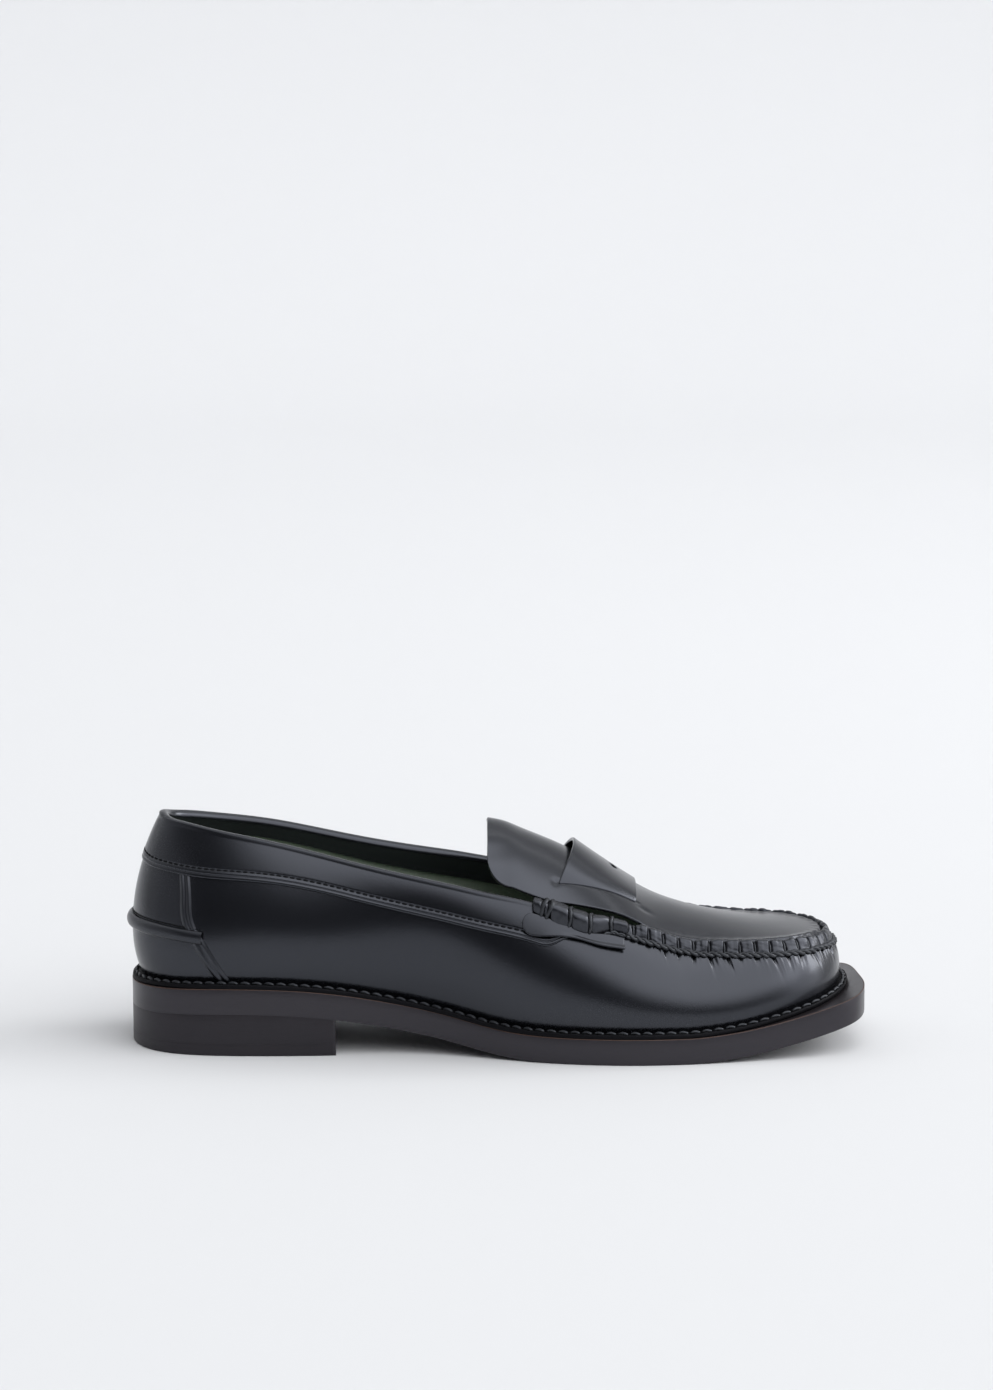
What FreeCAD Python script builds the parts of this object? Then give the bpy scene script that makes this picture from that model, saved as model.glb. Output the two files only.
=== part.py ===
"""Penny loafer, right shoe: hand-sewn moccasin upper on a welted leather sole with a stacked heel.

Millimetres. +X runs from the heel to the toe, -Y is the outer side, +Z is up. The upper is drawn as
one ring surface round the last, from the welt up to the top line, and each piece of leather is a
patch of it with its own thickness. The model is moved at the end so that the origin is the centre
of the bounding box's floor.
"""

import FreeCAD
import Part

import functools
import math
import os

V = FreeCAD.Vector

# ---- Overall sizes -------------------------------------------------------------------------------
SOLE_LENGTH = 274.0  # heel back to toe tip, measured on the sole's edge
BALL_WIDTH = 98.0  # the sole at its widest
BACK_HEIGHT = 62.0  # upper above the sole, at the heel's back
HEEL_REAR_HEIGHT = 14.3  # heel under the sole, at the back
HEEL_BREAST_HEIGHT = 13.3  # heel under the sole, at its front face
HEEL_LENGTH = 77.5
TOE_SPRING = 13.4  # sole's underside above the floor, at the tip

# ---- Bottom --------------------------------------------------------------------------------------
OUTSOLE_THICK = 5.2
MIDSOLE_THICK = 4.4
WELT_THICK = 1.8
WELT_WIDTH = 2.7
WELT_GAP = 1.7  # from the feather line to the welt's inner edge
TOP_PIECE_THICK = 4.6
LIFT_COUNT = 3
CORK_THICK = 1.6
INSOLE_THICK = 2.4
SOCK_THICK = 1.0
BOTTOM_INSET = 2.0  # insole and cork inside the lining's foot
SHANK_LENGTH = 104.0
SHANK_WIDTH = 13.0
SHANK_THICK = 1.0
SHANK_START = 44.0
NAIL_RADIUS = 1.0
NAIL_LENGTH = 12.5
NAIL_FLOOR = 5.6  # nail head above the floor
NAIL_CIRCLE = 20.0
NAIL_COUNT = 5
NAIL_CENTRE = 0.46  # middle of the nails' arc, as a share of the heel's length
NAIL_ARC = (70.0, 290.0)  # degrees from the toe's direction

# ---- Upper ---------------------------------------------------------------------------------------
LEATHER = 1.2
LINING = 0.7
LAYER_GAP = 0.2  # glue line between two layers
LINING_GAP = 0.45  # the same between the outer leather and what is behind it
STIFFENER = 0.8
STRIP_THICK = 0.9
STRIP_HEIGHT_BACK = 17.0
STRIP_HEIGHT_SIDE = 12.6
FOLD_DEPTH = 6.0  # collar strip turned down inside the top line
BEAD_HEIGHT = 4.6
BEAD_PROUD = 1.8
SEAM_STRIP_WIDTH = 3.4
SEAM_STRIP_PROUD = 0.9
LIP_HEIGHT = 4.6  # gathered edge of the vamp standing up round the apron
LIP_THICK = 2.6
APRON_THICK = 1.6
LIP_ROOT = 1.2  # the lip grows out of the wall this far below the top line
LIP_OUT = 0.8  # lip's outer face beyond the top line
LIP_LEAN = 0.3
APRON_GAP = 0.5  # apron's edge to the lip
STRAP_THICK = 1.5
STRAP_ARCH = 2.1  # strap's rear edge above the tongue, at the crest
SLOT_ACROSS = 9.0
SLOT_LONG = 3.8
SLOT_X = 180.8
SLOT_Y = 3.0
TONGUE_START = 133.8
TONGUE_CORNER = 5.0
TONGUE_HINGE = 157.4
CREST_SHIFT = 1.5  # crest of the instep towards the inner side
INNER_NARROWER = 1.8  # the tongue's inner half against its outer half
ROLL_RADIUS = 4.5
ROLL_THREAD = 0.5
BINDING_GAP = 0.1
ROLL_INSIDE = 3.9  # how far the roll's windings reach inside the top line
WINDINGS = (0.07, 0.13, 0.335, 0.545, 0.75)  # where the roll is bound, as shares of its length
TAB_START, TAB_END = 146.6, 183.0
TAB_TOP = 3.0  # tab's upper edge below the top line
TAB_THICK = 1.3
THREAD_RADIUS = 0.45  # welt thread
APRON_THREAD_RADIUS = 0.7
COLLAR_THREAD_RADIUS = 0.3
APRON_THREAD_DROP = 2.0  # below the top line
COLLAR_THREAD_RISE = 2.2  # above the strip's lower edge
WELT_THREAD_LINE = 0.55  # share of the welt's width
BUTT_GAP = 0.25  # between two pieces that meet edge to edge
FIT_CLEARANCE = 0.65  # round the rolls' windings
# Shares of a station round the shoe, and of the wall's height.
SEAM_CLEAR = 0.03
BEAD_END_CLEAR = 0.21
PANEL_GAP = 0.004
SEAM_STRIP_FOOT, SEAM_STRIP_TOP = 0.075, 0.700
LINING_JOIN, LINING_FOOT, LINING_TOP = 7.9, 0.005, 0.97
COUNTER_REACH, COUNTER_TOP = 3.5, 0.58
PUFF_REACH, PUFF_TOP = 3.5, 0.9
STIFF_FOOT = 0.01

# ---- Grading: the pattern below is drawn for these sizes and follows the overall sizes -----------
PATTERN_LENGTH = 274.0
PATTERN_WIDTH = 98.0
PATTERN_BACK = 62.0
GX = SOLE_LENGTH / PATTERN_LENGTH
GY = BALL_WIDTH / PATTERN_WIDTH
GZ = BACK_HEIGHT / PATTERN_BACK

# One row per station round the shoe, from the heel's back along the outer side to the toe and home
# along the inner side: sole edge x y, feather line x y, top line x y, height of the top line above
# the sole, belly (how far the wall leans out low down) and shoulder (the same, high up).
STATIONS = [
    (0.0, 0.0, 4.5, 0.0, 12.5, 0.0, 62.0, 10.0, 7.3),
    (3.2, -14.5, 7.2, -12.0, 15.5, -7.5, 60.6, 10.0, 7.0),
    (13.0, -26.0, 16.0, -21.8, 23.0, -12.6, 58.9, 9.5, 6.5),
    (30.0, -31.8, 31.0, -27.4, 36.0, -17.9, 56.1, 9.0, 6.0),
    (55.0, -33.2, 55.0, -28.9, 56.0, -21.6, 52.7, 8.5, 6.0),
    (82.0, -32.3, 82.0, -28.0, 82.0, -24.0, 48.9, 8.5, 6.0),
    (108.0, -31.8, 108.0, -27.8, 108.0, -27.6, 48.1, 9.0, 6.5),
    (130.0, -37.0, 130.0, -32.8, 130.0, -31.3, 48.6, 8.5, 7.0),
    (150.0, -44.0, 150.0, -39.5, 150.0, -33.3, 47.1, 7.5, 7.5),
    (170.0, -48.4, 170.0, -43.9, 168.0, -34.6, 41.2, 6.8, 8.0),
    (190.0, -49.8, 189.0, -45.4, 186.0, -34.6, 35.7, 6.5, 8.0),
    (210.0, -48.0, 208.0, -43.6, 204.0, -33.0, 30.0, 6.0, 7.5),
    (230.0, -44.5, 226.0, -39.8, 221.0, -31.0, 26.3, 5.2, 6.5),
    (248.0, -40.5, 241.5, -34.4, 237.0, -28.6, 23.0, 4.2, 5.5),
    (262.0, -36.3, 253.0, -27.6, 249.5, -23.6, 20.2, 3.4, 4.5),
    (271.0, -29.5, 260.5, -18.5, 258.0, -15.0, 18.1, 2.8, 3.6),
    (274.0, -15.0, 263.6, -9.0, 261.8, -7.5, 17.1, 2.5, 3.0),
    (273.3, 0.0, 264.3, 0.0, 262.8, 0.0, 16.9, 2.5, 3.0),
    (271.9, 15.0, 263.4, 9.5, 261.6, 8.0, 17.3, 2.5, 3.0),
    (267.5, 27.3, 259.5, 19.0, 257.5, 15.5, 18.6, 2.8, 3.6),
    (258.0, 34.0, 251.0, 28.0, 248.5, 23.5, 20.9, 3.4, 4.5),
    (244.0, 38.0, 238.5, 33.8, 235.5, 28.0, 23.8, 4.2, 5.5),
    (226.0, 42.0, 222.5, 38.4, 219.5, 30.0, 27.2, 5.2, 6.5),
    (206.0, 45.6, 204.5, 41.8, 202.0, 31.8, 31.2, 6.0, 7.5),
    (186.0, 47.3, 185.0, 43.3, 184.0, 33.4, 36.8, 6.5, 8.0),
    (166.0, 46.5, 166.0, 42.0, 166.0, 33.6, 42.4, 6.8, 8.0),
    (146.0, 42.0, 146.0, 37.5, 149.0, 32.6, 47.8, 7.5, 7.5),
    (126.0, 35.0, 126.0, 31.0, 129.5, 31.0, 48.9, 8.5, 7.0),
    (104.0, 30.3, 104.0, 26.6, 107.5, 27.6, 48.3, 9.0, 6.5),
    (79.0, 31.0, 79.0, 27.2, 81.5, 24.0, 49.1, 8.5, 6.0),
    (53.0, 32.8, 53.0, 28.6, 55.5, 21.6, 52.8, 8.5, 6.0),
    (29.0, 31.6, 30.0, 27.2, 36.0, 17.9, 56.1, 9.0, 6.0),
    (12.5, 26.0, 15.5, 21.6, 23.0, 12.6, 58.9, 9.5, 6.5),
    (3.0, 14.5, 7.0, 12.0, 15.5, 7.5, 60.6, 10.0, 7.0),
]
COUNT = len(STATIONS)
TOE = 17.0  # station at the toe's middle
BELLY_LEVEL, SHOULDER_LEVEL = 0.30, 0.82  # heights of the wall's two control points

# Underside of the sole: share of the sole's length, and height as a share of heel or toe spring.
HEEL_LINE = [(0.285, 1.0), (0.36, 0.735), (0.44, 0.39), (0.50, 0.13), (0.56, 0.02)]
TOE_LINE = [(0.77, 0.01), (0.86, 0.245), (0.91, 0.47), (0.96, 0.74), (1.0, 1.0)]
# Crest of apron and tongue above the sole, and how sharply it is arched, against pattern x.
CREST_LINE = [(128.0, 70.4), (141.0, 69.6), (149.0, 67.3), (161.0, 62.6), (171.0, 57.6),
              (181.0, 52.0), (192.0, 45.3), (203.0, 40.8), (214.0, 37.4), (235.0, 30.8),
              (255.0, 24.1), (266.0, 19.0)]
ARCH_LINE = [(128.0, 0.0215), (138.0, 0.0213), (148.0, 0.0185), (157.0, 0.0170), (166.0, 0.0139),
             (176.0, 0.0101), (184.0, 0.0074), (190.0, 0.0066), (197.0, 0.0076), (205.0, 0.0079),
             (219.0, 0.0063), (234.0, 0.0038), (250.0, 0.0020), (266.0, 0.0010)]
TONGUE_EDGE = [(128.0, 23.5), (138.0, 26.6), (148.0, 29.0), (160.0, 29.6), (175.0, 29.9),
               (190.0, 30.2), (200.0, 30.0)]
SIDE_SEAM = [(0.0, 38.0), (0.17, 31.5), (0.32, 26.4), (0.42, 23.3), (0.57, 22.3), (0.75, 21.6),
             (1.0, 21.0)]
BEAD_LINE = [(0.0, 0.355), (1.0, 0.360), (2.0, 0.350), (3.0, 0.330)]


# ---- Curves --------------------------------------------------------------------------------------
def closed_spline(rows):
    """A smooth closed curve through the rows, as a function of the station number."""
    n, width = len(rows), len(rows[0])
    knots = [list(r) for r in rows]
    for _ in range(60):
        knots = [[(6 * rows[i][k] - knots[i - 1][k] - knots[(i + 1) % n][k]) / 4
                  for k in range(width)] for i in range(n)]

    @functools.lru_cache(maxsize=None)
    def at(t):
        i = math.floor(t)
        u = t - i
        b = ((1 - u) ** 3 / 6, (3 * u ** 3 - 6 * u * u + 4) / 6,
             (-3 * u ** 3 + 3 * u * u + 3 * u + 1) / 6, u ** 3 / 6)
        near = [knots[(i + j - 1) % n] for j in range(4)]
        return [sum(b[j] * near[j][k] for j in range(4)) for k in range(width)]
    return at


def open_spline(points):
    """A natural cubic y(x) through the points, straight beyond its ends."""
    xs, ys = [p[0] for p in points], [p[1] for p in points]
    n = len(xs)
    bend = [0.0] * n
    for _ in range(400):
        for i in range(1, n - 1):
            h0, h1 = xs[i] - xs[i - 1], xs[i + 1] - xs[i]
            pull = 6 * ((ys[i + 1] - ys[i]) / h1 - (ys[i] - ys[i - 1]) / h0)
            bend[i] = (pull - h0 * bend[i - 1] - h1 * bend[i + 1]) / (2 * (h0 + h1))

    def at(x):
        if x <= xs[0]:
            h = xs[1] - xs[0]
            return ys[0] + (x - xs[0]) * ((ys[1] - ys[0]) / h - h * bend[1] / 6)
        if x >= xs[-1]:
            h = xs[-1] - xs[-2]
            return ys[-1] + (x - xs[-1]) * ((ys[-1] - ys[-2]) / h + h * bend[-2] / 6)
        i = max(j for j in range(n - 1) if xs[j] <= x)
        h = xs[i + 1] - xs[i]
        a, b = (xs[i + 1] - x) / h, (x - xs[i]) / h
        return (a * ys[i] + b * ys[i + 1]
                + ((a ** 3 - a) * bend[i] + (b ** 3 - b) * bend[i + 1]) * h * h / 6)
    return at


def smooth(a, b, x):
    """0 below a, 1 above b, and an easy S between."""
    u = min(1.0, max(0.0, (x - a) / (b - a)))
    return u * u * (3 - 2 * u)


def lerp(a, b, u):
    return a + (b - a) * u


def spread(a, b, n):
    return [lerp(a, b, i / (n - 1)) for i in range(n)]


underside = open_spline(
    [(0.0, HEEL_REAR_HEIGHT)]
    + [(f * SOLE_LENGTH, h * HEEL_BREAST_HEIGHT) for f, h in HEEL_LINE]
    + [(0.66 * SOLE_LENGTH, 0.0)]
    + [(f * SOLE_LENGTH, h * TOE_SPRING) for f, h in TOE_LINE])
round_the_shoe = closed_spline(STATIONS)
crest_height = open_spline([(x * GX, z * GZ) for x, z in CREST_LINE])
arch = open_spline([(x * GX, k * GZ / GY ** 2) for x, k in ARCH_LINE])
tongue_edge = open_spline([(x * GX, y * GY) for x, y in TONGUE_EDGE])
seam_x = open_spline([(f, x * GX) for f, x in SIDE_SEAM])
bead_level = open_spline(BEAD_LINE)


def sole_bottom(x):
    return max(0.0, underside(x))


def sole_top(x):
    return sole_bottom(x) + OUTSOLE_THICK + MIDSOLE_THICK


# ---- The upper's ring surface --------------------------------------------------------------------
@functools.lru_cache(maxsize=None)
def edge_point(t, column, out=0.0):
    """A point of the sole edge (column 0), feather line (2) or top line (4), moved out in plan."""
    def raw(s):
        row = round_the_shoe(s)
        return row[column] * GX, row[column + 1] * GY
    x, y = raw(t)
    (xa, ya), (xb, yb) = raw(t - 0.03), raw(t + 0.03)
    dx, dy = xb - xa, yb - ya
    length = math.hypot(dx, dy)
    return x + out * dy / length, y - out * dx / length


@functools.lru_cache(maxsize=None)
def share_of_bezier(f):
    """The wall's own parameter where its height is the share f of the full height."""
    lo, hi = 0.0, 1.0
    for _ in range(36):
        w = (lo + hi) / 2
        rise = (3 * w * (1 - w) ** 2 * BELLY_LEVEL + 3 * w * w * (1 - w) * SHOULDER_LEVEL + w ** 3)
        lo, hi = (w, hi) if rise < f else (lo, w)
    return (lo + hi) / 2


def wall_point(t, f):
    """The upper's outer face at station t and share f of the height from welt to top line."""
    row = round_the_shoe(t)
    fx, fy = row[2] * GX, row[3] * GY
    tx, ty = row[4] * GX, row[5] * GY
    height, belly, shoulder = row[6] * GZ, row[7], row[8]
    ox, oy = edge_point(t, 2, 1.0)
    nx, ny = ox - fx, oy - fy
    w = share_of_bezier(f)
    b = ((1 - w) ** 3, 3 * w * (1 - w) ** 2, 3 * w * w * (1 - w), w ** 3)
    x = b[0] * fx + b[1] * (fx + nx * belly) + b[2] * (tx + nx * shoulder) + b[3] * tx
    y = b[0] * fy + b[1] * (fy + ny * belly) + b[2] * (ty + ny * shoulder) + b[3] * ty
    return V(x, y, sole_top(fx) + height * f)


def wall(t, f, out):
    """The wall's point moved out along its normal."""
    p = wall_point(t, f)
    along = wall_point(t + 0.04, f) - wall_point(t - 0.04, f)
    up = wall_point(t, min(1.0, f + 0.01)) - wall_point(t, max(0.0, f - 0.01))
    normal = up.cross(along)
    normal.normalize()
    outward = V(*edge_point(t, 2, 1.0), 0) - V(*edge_point(t, 2, 0.0), 0)
    if normal.dot(outward) < 0:
        normal = -normal
    return p + normal * out


def station_at(x, f, inner):
    """The station on the outer or inner side where the wall at share f passes x."""
    lo, hi = (TOE, COUNT) if inner else (0.0, TOE)
    for _ in range(32):
        mid = (lo + hi) / 2
        ahead = wall_point(mid, f).x < x
        if inner:
            lo, hi = (lo, mid) if ahead else (mid, hi)
        else:
            lo, hi = (mid, hi) if ahead else (lo, mid)
    return (lo + hi) / 2


# ---- Solids --------------------------------------------------------------------------------------
def sheet_solid(outer, inner):
    """A closed solid between two grids of points with the same rows and columns."""
    faces, edges = [], []
    for grid in (outer, inner):
        surface = Part.BSplineSurface()
        surface.interpolate(grid)
        faces.append(surface.toShape())
        u0, u1, v0, v1 = surface.bounds()
        edges.append([surface.uIso(u0).toShape(), surface.uIso(u1).toShape(),
                      surface.vIso(v0).toShape(), surface.vIso(v1).toShape()])
    faces += [Part.makeRuledSurface(a, b, 1) for a, b in zip(*edges)]
    shell = Part.makeShell(faces)
    shell.sewShape()
    solid = Part.makeSolid(shell)
    if solid.Volume < 0:
        solid.reverse()
    return solid


def wall_patch(t_range, f_range, offsets, nt, nf):
    """A patch of the upper. t_range and offsets may vary with height, f_range with the station."""
    grids = []
    for side in (1, 0):
        grid = []
        for a in spread(0, 1, nt):
            line = []
            for b in spread(0, 1, nf):
                t_mid = lerp(t_range(0.5)[0], t_range(0.5)[1], a)
                f0, f1 = f_range(t_mid)
                f = lerp(f0, f1, b)
                t0, t1 = t_range(f)
                t = lerp(t0, t1, a)
                line.append(wall(t, f, offsets(t, f, b)[side]))
            grid.append(line)
        grids.append(grid)
    return sheet_solid(*grids)


def plan_loop(points):
    """A closed smooth outline in plan as a face."""
    curve = Part.BSplineCurve()
    curve.interpolate(Points=[V(x, y, 0) for x, y in points], PeriodicFlag=True)
    return Part.Face(Part.Wire(curve.toShape()))


def plan_prism(points, low=-20.0, high=160.0):
    face = plan_loop(points)
    face.translate(V(0, 0, low))
    return face.extrude(V(0, 0, high - low))


def slab(low, high, x0, x1):
    """Everything between two heights given as functions of x."""
    half = BALL_WIDTH
    edges = []
    for height in (low, high):
        curve = Part.BSplineCurve()
        curve.interpolate([V(x, -half, height(x)) for x in spread(x0, x1, 60)])
        edges.append(curve.toShape())
    ends = [Part.makeLine(V(x, -half, low(x)), V(x, -half, high(x))) for x in (x0, x1)]
    wire = Part.Wire(Part.__sortEdges__(edges + ends))
    return Part.Face(wire).extrude(V(0, 2 * half, 0))


def outline(column, out=0.0, samples=136):
    return [edge_point(COUNT * i / samples, column, out) for i in range(samples)]


def tube(path, radii):
    """A round solid through the points of a path, with a radius at each."""
    rings = []
    for i, p in enumerate(path):
        direction = path[min(i + 1, len(path) - 1)] - path[max(i - 1, 0)]
        rings.append(Part.Wire(Part.makeCircle(radii[i], p, direction)))
    return Part.makeLoft(rings, True, False)


def evenly(points, n):
    """The same bent line with n points at equal distances along it."""
    lengths = [0.0]
    for a, b in zip(points, points[1:]):
        lengths.append(lengths[-1] + (b - a).Length)
    placed, i = [], 0
    for s in spread(0.0, lengths[-1], n):
        while i < len(points) - 2 and lengths[i + 1] < s:
            i += 1
        share = (s - lengths[i]) / (lengths[i + 1] - lengths[i])
        placed.append(points[i] + (points[i + 1] - points[i]) * share)
    return placed


def laid_cord(seat, stations, radius):
    """A cord lying on a surface: flat below and round above. seat gives its place, the way up
    and the way across at a station."""
    grids = []
    for top in (True, False):
        grid = []
        for t in stations:
            place, up, across = seat(t)
            line = []
            for angle in spread(0, 180, 7):
                a = math.radians(angle)
                rise = radius * (0.3 + 1.5 * math.sin(a)) if top else 0.0
                line.append(place + up * rise - across * radius * math.cos(a))
            grid.append(line)
        grids.append(grid)
    return sheet_solid(*grids)


# ---- Bottom pieces -------------------------------------------------------------------------------
FRONT_OF_ALL = SOLE_LENGTH + 6.0
BACK_OF_ALL = -6.0


def nails():
    """Heel nails on an arc, driven up through the lifts into the outsole."""
    centre_x = NAIL_CENTRE * HEEL_LENGTH
    found = []
    for degrees in spread(*NAIL_ARC, NAIL_COUNT):
        angle = math.radians(degrees)
        found.append(V(centre_x + NAIL_CIRCLE * math.cos(angle), NAIL_CIRCLE * math.sin(angle),
                       NAIL_FLOOR))
    return found


def nail_solids(radius):
    return Part.makeCompound([Part.makeCylinder(radius, NAIL_LENGTH, p) for p in nails()])


def bottom_pieces():
    sole = plan_prism(outline(0))
    holes = nail_solids(NAIL_RADIUS)
    outsole = sole.common(slab(sole_bottom, lambda x: sole_bottom(x) + OUTSOLE_THICK,
                               BACK_OF_ALL, FRONT_OF_ALL)).cut(holes)
    midsole = sole.common(slab(lambda x: sole_bottom(x) + OUTSOLE_THICK, sole_top,
                               BACK_OF_ALL, FRONT_OF_ALL))
    ring = plan_prism(outline(2, WELT_GAP + WELT_WIDTH)).cut(plan_prism(outline(2, WELT_GAP)))
    welt = ring.common(slab(sole_top, lambda x: sole_top(x) + WELT_THICK,
                            BACK_OF_ALL, FRONT_OF_ALL))
    return {"outsole": outsole, "midsole": midsole, "welt": welt, "heel_nails": nail_solids(
        NAIL_RADIUS)}


def heel_pieces():
    """Rubber top piece on the floor, then leather lifts, the last one wedged to the sole."""
    block = plan_prism(outline(0)).common(
        Part.makeBox(HEEL_LENGTH - BACK_OF_ALL, 2 * BALL_WIDTH, 60,
                     V(BACK_OF_ALL, -BALL_WIDTH, -5)))
    holes = nail_solids(NAIL_RADIUS)
    step = (HEEL_BREAST_HEIGHT - TOP_PIECE_THICK) / LIFT_COUNT
    levels = [TOP_PIECE_THICK + i * step for i in range(LIFT_COUNT)]
    floor_slice = Part.makeBox(HEEL_LENGTH - BACK_OF_ALL, 2 * BALL_WIDTH, TOP_PIECE_THICK,
                               V(BACK_OF_ALL, -BALL_WIDTH, 0))
    pieces = {"heel_top_piece": block.common(floor_slice)}
    for i, low in enumerate(levels):
        high = sole_bottom if i == LIFT_COUNT - 1 else (lambda x, z=levels[i + 1]: z)
        lift = block.common(slab(lambda x, z=low: z, high, BACK_OF_ALL, HEEL_LENGTH))
        pieces["heel_lift_%d" % (i + 1)] = lift.cut(holes)
    return pieces


def inner_bottom():
    """Cork filler with the shank let into it, then insole and sock."""
    inset = LEATHER + LINING + STIFFENER + 3 * LAYER_GAP + BOTTOM_INSET
    bed = plan_prism(outline(2, -inset))
    cork_top = (lambda x: sole_top(x) + CORK_THICK)
    insole_top = (lambda x: cork_top(x) + INSOLE_THICK)
    sock_top = (lambda x: insole_top(x) + SOCK_THICK)
    cork = bed.common(slab(sole_top, cork_top, BACK_OF_ALL, FRONT_OF_ALL))
    insole = bed.common(slab(cork_top, insole_top, BACK_OF_ALL, FRONT_OF_ALL))
    sock = bed.common(slab(insole_top, sock_top, BACK_OF_ALL, FRONT_OF_ALL))

    def bar(width, low, high, grow):
        strip = Part.makeBox(SHANK_LENGTH + 2 * grow, width + 2 * grow, 200,
                             V(SHANK_START - grow, -width / 2 - grow, -50))
        return strip.common(slab(low, high, BACK_OF_ALL, FRONT_OF_ALL))
    shank = bar(SHANK_WIDTH, sole_top, lambda x: sole_top(x) + SHANK_THICK, 0.0)
    pocket = bar(SHANK_WIDTH, lambda x: sole_top(x) - 1.0,
                 lambda x: sole_top(x) + SHANK_THICK + LAYER_GAP, LAYER_GAP)
    return {"cork_filler": cork.cut(pocket), "shank": shank, "insole": insole,
            "sock_liner": sock}


# ---- Upper pieces --------------------------------------------------------------------------------
def seam_station(f, inner):
    return station_at(seam_x(f), f, inner)


def back_share(t):
    """1 round the heel, 0 along the sides: used by what changes towards the back."""
    away = min(t % COUNT, COUNT - t % COUNT)
    return 1 - smooth(2.0, 5.0, away)


def strip_height(t):
    return lerp(STRIP_HEIGHT_SIDE, STRIP_HEIGHT_BACK, back_share(t)) * GZ


def strip_foot(t):
    """Share of the height where the collar strip's lower edge runs."""
    return 1 - strip_height(t) / (round_the_shoe(t)[6] * GZ)


def stiffened(t, f):
    """How much room the lining leaves for the heel stiffener and the toe puff."""
    away = min(t % COUNT, COUNT - t % COUNT)
    heel = 1 - smooth(COUNTER_REACH + 0.1, COUNTER_REACH + 1.1, away)
    heel *= 1 - smooth(COUNTER_TOP + 0.02, COUNTER_TOP + 0.22, f)
    toe = 1 - smooth(PUFF_REACH + 0.1, PUFF_REACH + 1.1, abs(t % COUNT - TOE))
    return (STIFFENER + 2 * LAYER_GAP) * max(heel, toe)


WALL_TOP = 0.985  # the wall and lining stop short of the fold over the top line
ROLL_START, ROLL_END = 8.05, 10.75  # stations of the outer side's roll


def mirror_station(t, inner):
    """The same place on the inner side."""
    return COUNT - t if inner else t


def wall_pieces():
    outer_seam = (lambda f: seam_station(f, False) + SEAM_CLEAR)
    inner_seam = (lambda f: seam_station(f, True) - SEAM_CLEAR)
    vamp = wall_patch(lambda f: (outer_seam(f), inner_seam(f)), lambda t: (0.0, WALL_TOP),
                      lambda t, f, b: (-LEATHER, 0.0), 150, 16)
    back_range = (lambda f: (seam_station(f, True) - COUNT + SEAM_CLEAR,
                             seam_station(f, False) - SEAM_CLEAR))
    low = wall_patch(back_range, lambda t: (0.0, bead_level(abs(t)) - PANEL_GAP),
                     lambda t, f, b: (-LEATHER, 0.0), 40, 8)
    high = wall_patch(back_range, lambda t: (bead_level(abs(t)) + PANEL_GAP, WALL_TOP),
                      lambda t, f, b: (-LEATHER, 0.0), 40, 12)
    return {"vamp": vamp, "heel_counter_cover": low, "back_panel": high}


def lining_offsets(t, f, b):
    out = -LEATHER - LINING_GAP - stiffened(t, f)
    return out - LINING, out


def lining_pieces():
    height = (lambda t: (LINING_FOOT, LINING_TOP))
    quarter = wall_patch(lambda f: (-LINING_JOIN, LINING_JOIN), height, lining_offsets, 70, 20)
    start = LINING_JOIN + SEAM_CLEAR
    vamp = wall_patch(lambda f: (start, COUNT - start), height, lining_offsets, 100, 16)

    def between(t, f, b):
        out = -LEATHER - LINING_GAP
        return out - STIFFENER, out
    counter = wall_patch(lambda f: (-COUNTER_REACH, COUNTER_REACH),
                         lambda t: (STIFF_FOOT, COUNTER_TOP), between, 40, 8)
    puff = wall_patch(lambda f: (TOE - PUFF_REACH, TOE + PUFF_REACH),
                      lambda t: (STIFF_FOOT, PUFF_TOP), between, 40, 6)
    return {"quarter_lining": quarter, "vamp_lining": vamp, "heel_stiffener": counter,
            "toe_puff": puff}


def collar_strip():
    """Leather band round the opening: down the outside, over the edge, and turned in."""
    layers = LEATHER + LINING_GAP + LINING
    middle, bend = -layers / 2, layers / 2 + LAYER_GAP

    def grid(out):
        rows = []
        for t in spread(-ROLL_START, ROLL_START, 84):
            line = [wall(t, f, LAYER_GAP + out) for f in spread(strip_foot(t), 0.975, 9)]
            rim = wall(t, 0.985, middle)
            side = wall(t, 0.985, middle + 1) - rim
            up = V(0, 0, 1) - side * side.z
            up.normalize()
            for angle in spread(0, 180, 13):
                a = math.radians(angle)
                line.append(rim + side * (bend + out) * math.cos(a)
                            + up * (bend + out) * math.sin(a))
            turned = FOLD_DEPTH / (round_the_shoe(t)[6] * GZ)
            for f in spread(0.975, 0.985 - turned, 5):
                line.append(wall(t, f, -layers - LAYER_GAP - out))
            rows.append(evenly(line, 24))
        return rows
    return {"collar_strip": sheet_solid(grid(STRIP_THICK), grid(0.0))}


def crowned(proud):
    """A low rounded section that lies on the leather."""
    return lambda t, f, b: (LAYER_GAP, LAYER_GAP + 0.25 + proud * math.sin(math.pi * b))


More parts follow.
